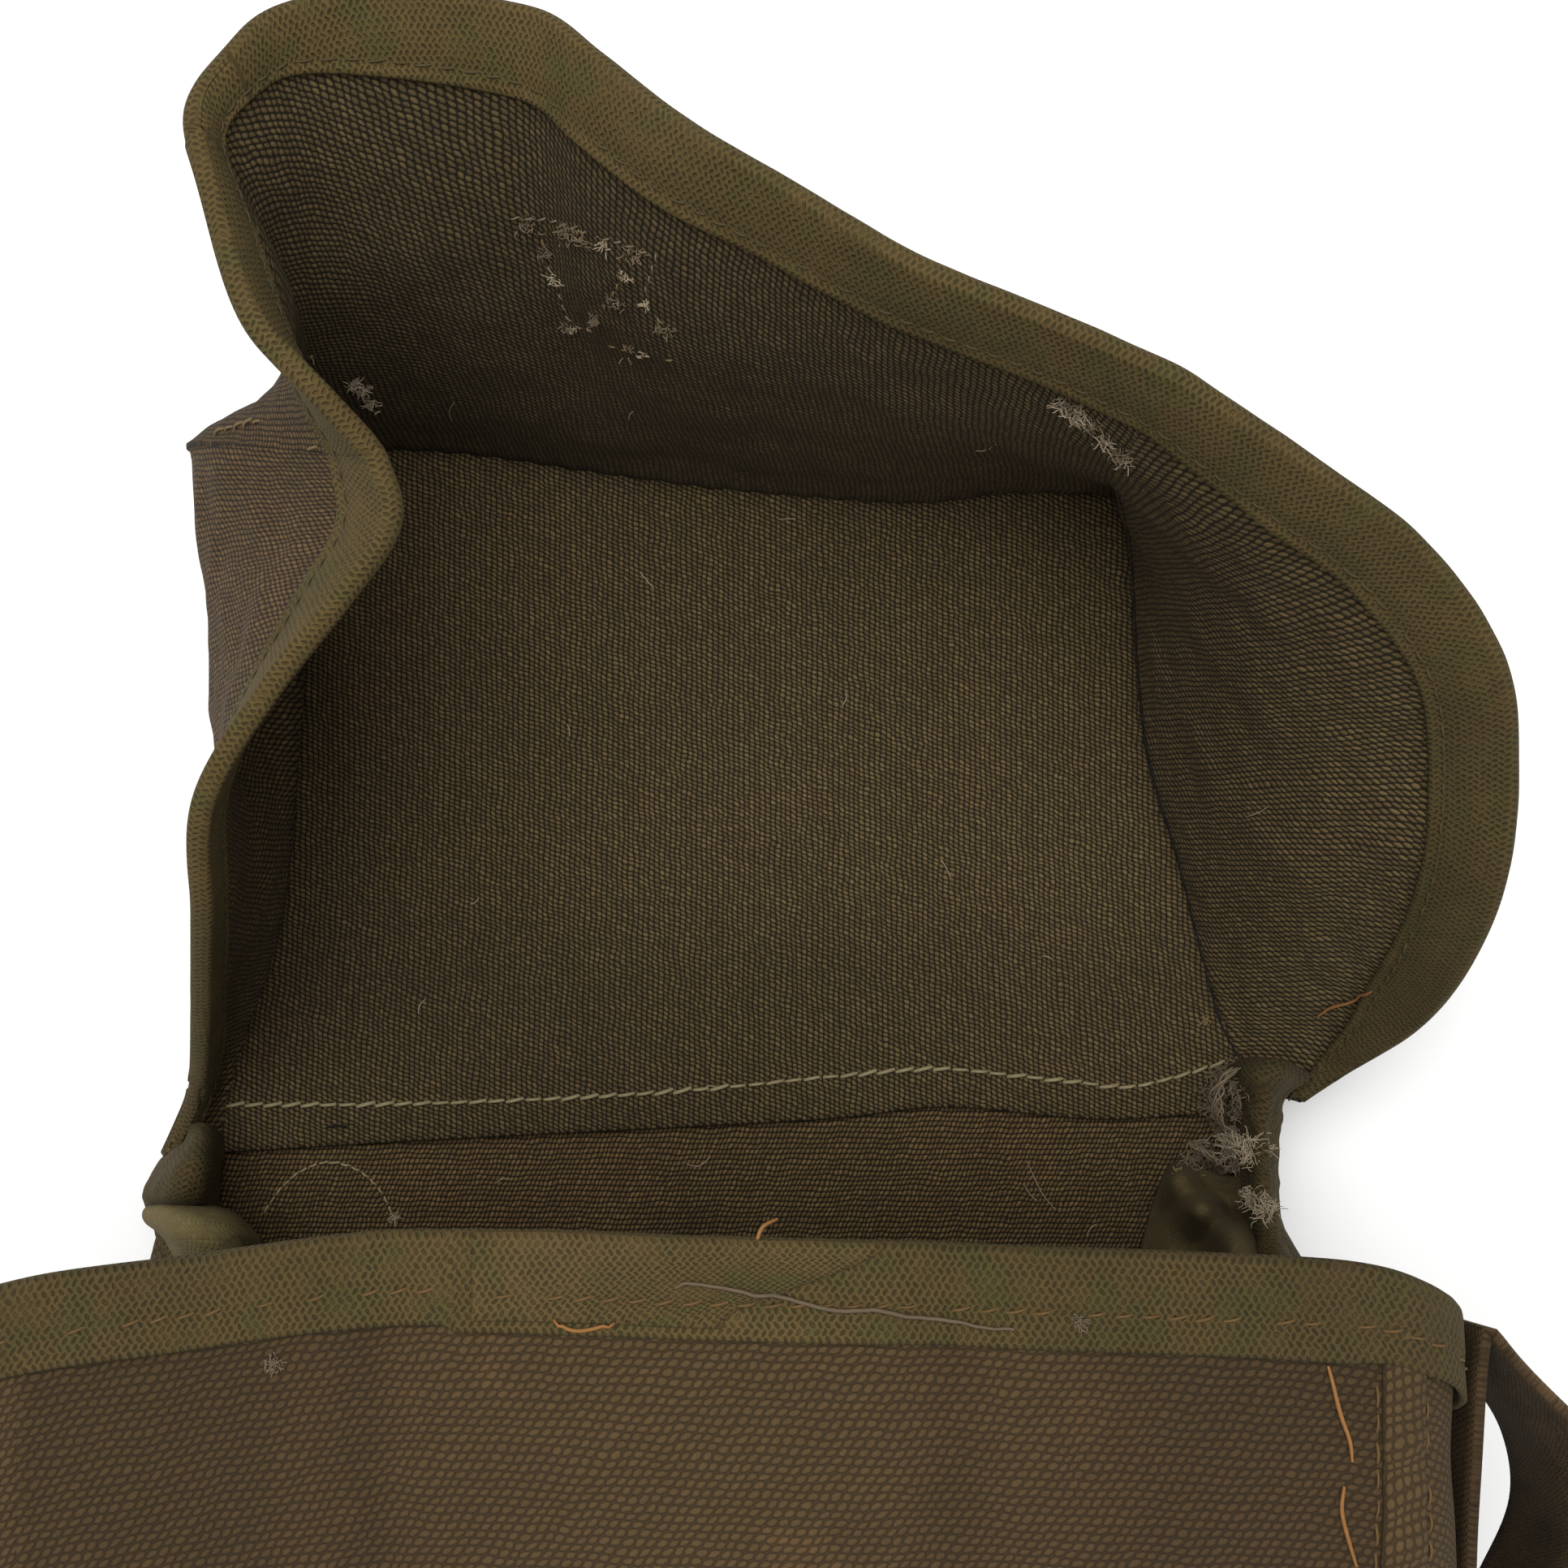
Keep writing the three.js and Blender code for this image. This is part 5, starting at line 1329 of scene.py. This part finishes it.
cloth_faces = []
cloth_points = []
for place, faces in made_meshes:
    cloth_faces += (faces + len(cloth_points)).tolist()
    cloth_points += place.tolist()
all_cloth = BVHTree.FromPolygons(cloth_points, cloth_faces)


longest_jump = 12


def seen(pixels, lift=0.0):
    """Cloth that the camera sees at pixels: places in millimetres from the hinge, and normals."""
    places, normals = [], []
    for px, py in pixels:
        slope = Vector((px - picture_middle, picture_middle - py)) / pixels_per_slope
        hit, normal, _, _ = all_cloth.ray_cast(camera_place, Vector((*slope, -1)).normalized(), 1.0)
        if hit is None or (places and abs(hit.z * 1000 - places[-1][2]) > longest_jump):
            continue
        normal = normal if normal.z > 0 else -normal
        places.append(np.array(hit) * 1000 - [0, rest_to_hinge, 0] + np.array(normal) * lift)
        normals.append(np.array(normal))
    return np.array(places), np.array(normals)


def followed(pixels, spacing=6.0):
    """More pixels along a smooth line through a few."""
    corners = np.array([(x, y, 0) for x, y in pixels], float)
    run = np.linalg.norm(np.diff(corners, axis=0), axis=-1).sum()
    return smooth_line(corners, max(int(run / spacing), 4))[:, :2]


def stitched(name, rows, material, lift, spacing=6.0, **sewing):
    """Stitches on the cloth along rows of the photograph's pixels."""
    sewn(name, [seen(followed(row, spacing), lift) for row in rows], material, **sewing)


# The flap's hem is sewn through the back wall with one row of stout pale thread, a finger's width above its
# edge. A half round of small stitches fixes the web patch under the back wall.
hinge_row = [
    (290, 1361), (450, 1361), (600, 1357), (750, 1350), (900, 1339), (1030, 1326), (1155, 1317),
    (1257, 1326), (1334, 1334), (1390, 1339), (1451, 1326), (1500, 1311),
]
stitched("hinge_stitches", [hinge_row], pale_thread, 0.15, seed=3, length=3.3, thickness=0.8, slant=0.12)
patch_row = [(328, 1490), (345, 1466), (368, 1445), (402, 1432), (440, 1441), (468, 1466), (487, 1503)]
small = {"pitch": 2.3, "length": 1.9, "thickness": 0.48, "slant": 0.1}
stitched("patch_stitches", [patch_row], pale_thread, 0.1, seed=4, **small)


# The webbing is sewn along the edges of both its faces, on the mouth with thread that was orange and has
# faded to rust, and on the lid with olive thread.
def rows_on(grid, columns, lift):
    rows = []
    for column in columns:
        away = grid[:, column] - grid[:, -1 - column]
        normal = normals_of(grid)[:, column]
        normal = normal * np.sign((normal * away).sum(-1, keepdims=True))
        rows.append((grid[:, column] + normal * lift[:, None], normal))
    return rows


thread_lift = 0.62
on_lap = smooth(-0.145, -0.14, mouth_along) * smooth(0.06, 0.05, mouth_along)
mouth_sewing = rows_on(mouth_grid, [6, -7], thread_lift + thread_lift * on_lap)
lid_sewing = rows_on(lid_grid, [3, -4], np.full(len(lid_along), thread_lift))
sewn("mouth_stitches", mouth_sewing, rust_thread, 5, 2.5, 0.46, slant=0.2, missing=0.25)
sewn("lid_stitches", lid_sewing, olive_thread, 6, 2.9, 0.42, slant=0.08, missing=0.05)


# The corner ridges, the strap's sewn ends and the keeper are sewn with the same rusty thread: two rows down
# each ridge, and a box with a cross at each end of the strap and the keeper.
def down_the_ridge(side, offset):
    down = np.linspace(0.075, 0.99, 260)
    around = side * ridge_places[side] + offset + 0 * down
    grid = body_cloth(np.stack([around - 0.002, around, around + 0.002]), np.stack([down] * 3))
    normal = -normals_of(grid)[1]
    normal = normal * np.sign((normal @ np.array([side * 0.7, 0, 1.0])))[:, None]
    return grid[1] + normal * (canvas / 2 + 0.1), normal


ridge_rows = [down_the_ridge(side, offset) for side in (-1, 1) for offset in (-0.016, 0.016)]
sewn("ridge_stitches", ridge_rows, rust_thread, 7, 2.9, 0.45, missing=0.1)


def box_and_cross(corners, normal, lift):
    a, b, c, d = (np.array(corner, float) for corner in corners)
    outline = [np.linspace(p, q, 12) for p, q in [(a, b), (b, c), (c, d), (d, a), (a, c), (b, d)]]
    return [(line + np.array(normal) * lift, np.tile(normal, (12, 1))) for line in outline]


strap_end_rows = []
for side, middle in [(1, strap_middle), (-1, strap_middle[::-1])]:
    patch = [middle[2, 1], middle[15, 1], middle[15, -2], middle[2, -2]]
    strap_end_rows += box_and_cross(patch, (side, 0, 0), strap_thickness / 2 + 0.1)
sewn("strap_end_stitches", strap_end_rows, rust_thread, 8, 2.9, 0.5)
keeper_rows = []
for i, j in [(2, 9), (-10, -3)]:
    patch = [keeper_middle[i, 1], keeper_middle[j, 1], keeper_middle[j, -2], keeper_middle[i, -2]]
    keeper_rows += box_and_cross(patch, (0, 0, 1), 0.7)
sewn("keeper_stitches", keeper_rows, rust_thread, 9, 2.4, 0.45)


# Inside the lip the closing tab's sewing shows as a shield of stitches, pale and orange, much frayed. At
# the left corner of the lid the wing's outer face shows a few ochre stitches.
shield_pale = [
    [(634, 269), (678, 272), (729, 290), (772, 302), (808, 318)],
    [(678, 333), (688, 359), (703, 397), (726, 407)],
    [(808, 318), (800, 345), (795, 371), (820, 404), (828, 420)],
]
shield_orange = [
    [(726, 407), (754, 427), (795, 436), (841, 448)],
    [(772, 333), (756, 362), (734, 394)],
    [(664, 284), (672, 308), (678, 333)],
]
pale_frayed = {"pitch": 2.4, "length": 1.9, "thickness": 0.36, "slant": 0.3, "missing": 0.3}
orange_frayed = {"pitch": 2.4, "length": 1.8, "thickness": 0.34, "slant": 0.3, "missing": 0.35}
stitched("lip_sewing_pale", shield_pale, torn_yarn, 0.05, seed=11, **pale_frayed)
stitched("lip_sewing_orange", shield_orange, ochre_thread, 0.05, seed=12, **orange_frayed)
corner_row = [(270, 532), (318, 520), (345, 536), (385, 552)]
coarse = {"pitch": 4.2, "length": 3.6, "thickness": 0.6, "slant": 0.3, "missing": 0.15}
stitched("corner_stitches", [corner_row], ochre_thread, 0.1, spacing=4, seed=13, **coarse)


# Loose ends of orange thread and a grey mending thread lie on the webbing and the front wall, and one stands
# up behind the mouth. A short near-black thread in the hem paints the shadow in a small slit worn there.
def laid(pixels, lift=0.3, spacing=6.0):
    return seen(followed(pixels, spacing), lift)[0]


mending_row = [(832, 1587), (849, 1581), (932, 1595), (1019, 1610), (1118, 1622), (1250, 1639)]
mending = laid(mending_row, 0.5)
wriggle = [waves(mending, 11, 121) * 0.1, waves(mending, 9, 122) * 0.4, waves(mending, 10, 123) * 0.2]
threads("mending_thread", [mending + np.stack(wriggle, -1)], grey_thread, 0.34)
standing_end = [(926, 1574, 135.5), (930, 1545, 138.5), (938, 1514, 139), (957, 1502, 137)]
orange_lines = [
    smooth_line(from_pixels(standing_end), 40),
    laid([(683, 1626), (700, 1637), (720, 1639), (757, 1630)], 0.5),
    laid([(1625, 1250), (1640, 1240), (1665, 1233), (1690, 1220)], 0.5),
    laid([(1635, 1682), (1640, 1700), (1650, 1740), (1662, 1775), (1665, 1800)], 0.5),
    laid([(1655, 1830), (1652, 1860), (1660, 1895), (1670, 1928)], 0.5),
]
threads("orange_threads", orange_lines, orange_thread, 0.33)
threads("painted_shadow_line", [laid([(402, 1389), (415, 1387), (428, 1388)], 0.05, 3)], painted_shadow_thread, 0.32)


# Frays: short curling yarn ends that stand on worn places, each tuft given by its pixel, its spread, how many
# ends it has and their length. Longer strands of torn cloth hang twisted beside the hinge.
def tuft(middle, spread, count, length, seed, upward=0.4):
    draw = np.random.default_rng(seed)
    lines = []
    for _ in range(count):
        point = np.array(middle, float) + draw.normal(size=3) * spread * [1, 1, 0.6]
        heading = unit(draw.normal(size=3) + [0, 0, upward])
        turn = draw.normal(size=3) * 0.9
        line = [point]
        for _ in range(8):
            heading = unit(heading + turn + draw.normal(size=3) * 0.6)
            line.append(line[-1] + heading * length / 8 * draw.uniform(0.7, 1.2))
        lines.append(smooth_line(line, 12))
    return lines


def tufts(name, rows, material, radius):
    lines = []
    for px, py, spread, count, length in rows:
        places = seen([(px, py)], 0.3)[0]
        if len(places):
            lines += tuft(places[0], spread, count, length, int(px * 7 + py))
    threads(name, lines, material, radius)


white_rows = [
    (1512, 1402, 1.3, 90, 3.0), (1528, 1408, 1.6, 150, 3.0), (1543, 1418, 1.4, 130, 3.0),
    (1524, 1428, 1.4, 100, 2.8), (1546, 1476, 0.9, 80, 2.6), (1558, 1492, 1.0, 90, 2.6),
    (1482, 1416, 0.9, 30, 2.8), (1508, 1340, 0.9, 30, 2.8), (448, 478, 0.8, 60, 1.8),
    (436, 470, 0.7, 40, 1.8), (458, 494, 0.7, 40, 1.8), (1310, 496, 0.7, 30, 2.0),
    (1330, 506, 0.8, 40, 2.2), (1362, 540, 0.8, 34, 2.2), (487, 1500, 0.4, 24, 1.4),
    (1390, 566, 0.7, 20, 1.8), (686, 345, 0.5, 24, 1.4), (745, 300, 0.5, 20, 1.4),
    (772, 340, 0.5, 22, 1.4), (795, 372, 0.5, 18, 1.4), (706, 404, 0.4, 12, 1.2),
    (795, 436, 0.4, 14, 1.2),
]
tufts("white_frays", white_rows, white_yarn, 0.085)
brown_rows = [
    (1508, 1326, 1.1, 90, 3.0), (1498, 1344, 1.1, 90, 3.0), (1496, 1362, 1.2, 90, 3.0),
    (1506, 1380, 1.2, 90, 3.0), (1526, 1340, 1.0, 60, 2.8), (1528, 1366, 1.0, 60, 2.8),
    (1480, 1424, 1.2, 80, 2.8), (1494, 1438, 1.1, 60, 2.8), (1466, 1436, 0.9, 50, 2.6),
    (1345, 520, 1.0, 60, 2.4), (1320, 500, 0.8, 40, 2.2), (1378, 552, 0.9, 44, 2.4),
    (650, 276, 0.9, 40, 1.6), (700, 284, 0.9, 40, 1.6), (780, 310, 0.9, 36, 1.6),
    (760, 372, 0.8, 30, 1.6), (734, 394, 0.7, 26, 1.5), (820, 404, 0.7, 26, 1.5),
    (672, 310, 0.7, 26, 1.5), (1330, 1630, 0.45, 34, 1.5), (339, 1679, 0.5, 50, 1.4),
    (720, 292, 0.9, 30, 1.6), (700, 400, 0.7, 20, 1.5), (780, 430, 0.7, 20, 1.5),
]
tufts("brown_frays", brown_rows, torn_yarn, 0.1)
orange_rows = [
    (1484, 1258, 0.25, 16, 1.5), (1449, 1443, 0.4, 10, 1.5), (383, 440, 0.3, 6, 1.2), (716, 288, 0.5, 5, 1.5),
]
tufts("orange_frays", orange_rows, ochre_thread, 0.2)


def twisted(pixels, height_at, turns, radius, seed):
    """Strands of torn cloth twisted loosely round each other along a line of pixels."""
    line = smooth_line(from_pixels([(px, py, height_at + lift) for px, py, lift in pixels]), 60)
    draw = np.random.default_rng(seed)
    share = np.linspace(0, 1, 60)
    strands = []
    for strand in range(6):
        angle = share * turns * draw.uniform(0.5, 1.4) * 2 * math.pi + draw.uniform(0, 6)
        wander = radius * (0.6 + 0.5 * np.sin(share * draw.uniform(4, 9) + draw.uniform(0, 6)))
        offset = np.stack([np.cos(angle) * wander, 0.3 * np.sin(angle) * wander, np.sin(angle) * wander], -1)
        strands.append(line + offset)
    return strands


upper_torn = [(1524, 1316, 6), (1508, 1332, 8), (1498, 1352, 7), (1500, 1374, 5), (1510, 1392, 3)]
lower_torn = [(1470, 1408, 3), (1486, 1420, 6), (1500, 1432, 6), (1508, 1444, 3)]
torn_strands = twisted(upper_torn, 24, 1.5, 1.3, 1) + twisted(lower_torn, 18, 1.5, 1.1, 3)
threads("torn_strands", torn_strands, torn_yarn, 0.2)

# Near-black threads laid in the seams where the lip and the right wing leave the flap's top paint the
# shadow in those creases as thin dark lines. Short pale hairs and lint lie on the cloth.
lip_seam = [
    (470, 550), (700, 575), (808, 585), (917, 602), (1025, 615), (1134, 618), (1215, 612), (1269, 596),
    (1323, 588), (1372, 600),
]
wing_seam = [
    (1378, 607), (1394, 678), (1405, 850), (1420, 950), (1450, 1050), (1475, 1150), (1500, 1250),
    (1524, 1300),
]
threads("lid_seam_painted_shadows", [laid(lip_seam, 0.05), laid(wing_seam, 0.05)], painted_shadow_thread, 0.3)

hair_places = [
    (778, 511), (970, 640), (1165, 1070), (585, 1110), (558, 506), (1215, 550), (1550, 1000),
    (797, 715), (875, 1340), (1270, 1470), (1345, 1515), (700, 900), (1040, 860), (520, 1240),
    (1290, 1180), (860, 1430), (620, 1455),
]
hairs = []
for rank, (px, py) in enumerate(hair_places):
    draw = np.random.default_rng(200 + rank)
    heading = draw.uniform(0, math.pi)
    bend = draw.uniform(-7, 7)
    reach = draw.uniform(6, 15)
    way = np.array([math.cos(heading), math.sin(heading)])
    aside = np.array([-way[1], way[0]])
    bow = [np.array([px, py]) + way * reach * k + aside * bend * (1 - k * k) for k in (-1, 0, 1)]
    hairs.append(laid(bow, 0.25, 3))
hairs.append(laid([(1265, 1430), (1275, 1452), (1284, 1470), (1300, 1490)], 0.3))
threads("lint", hairs, white_yarn, 0.09)
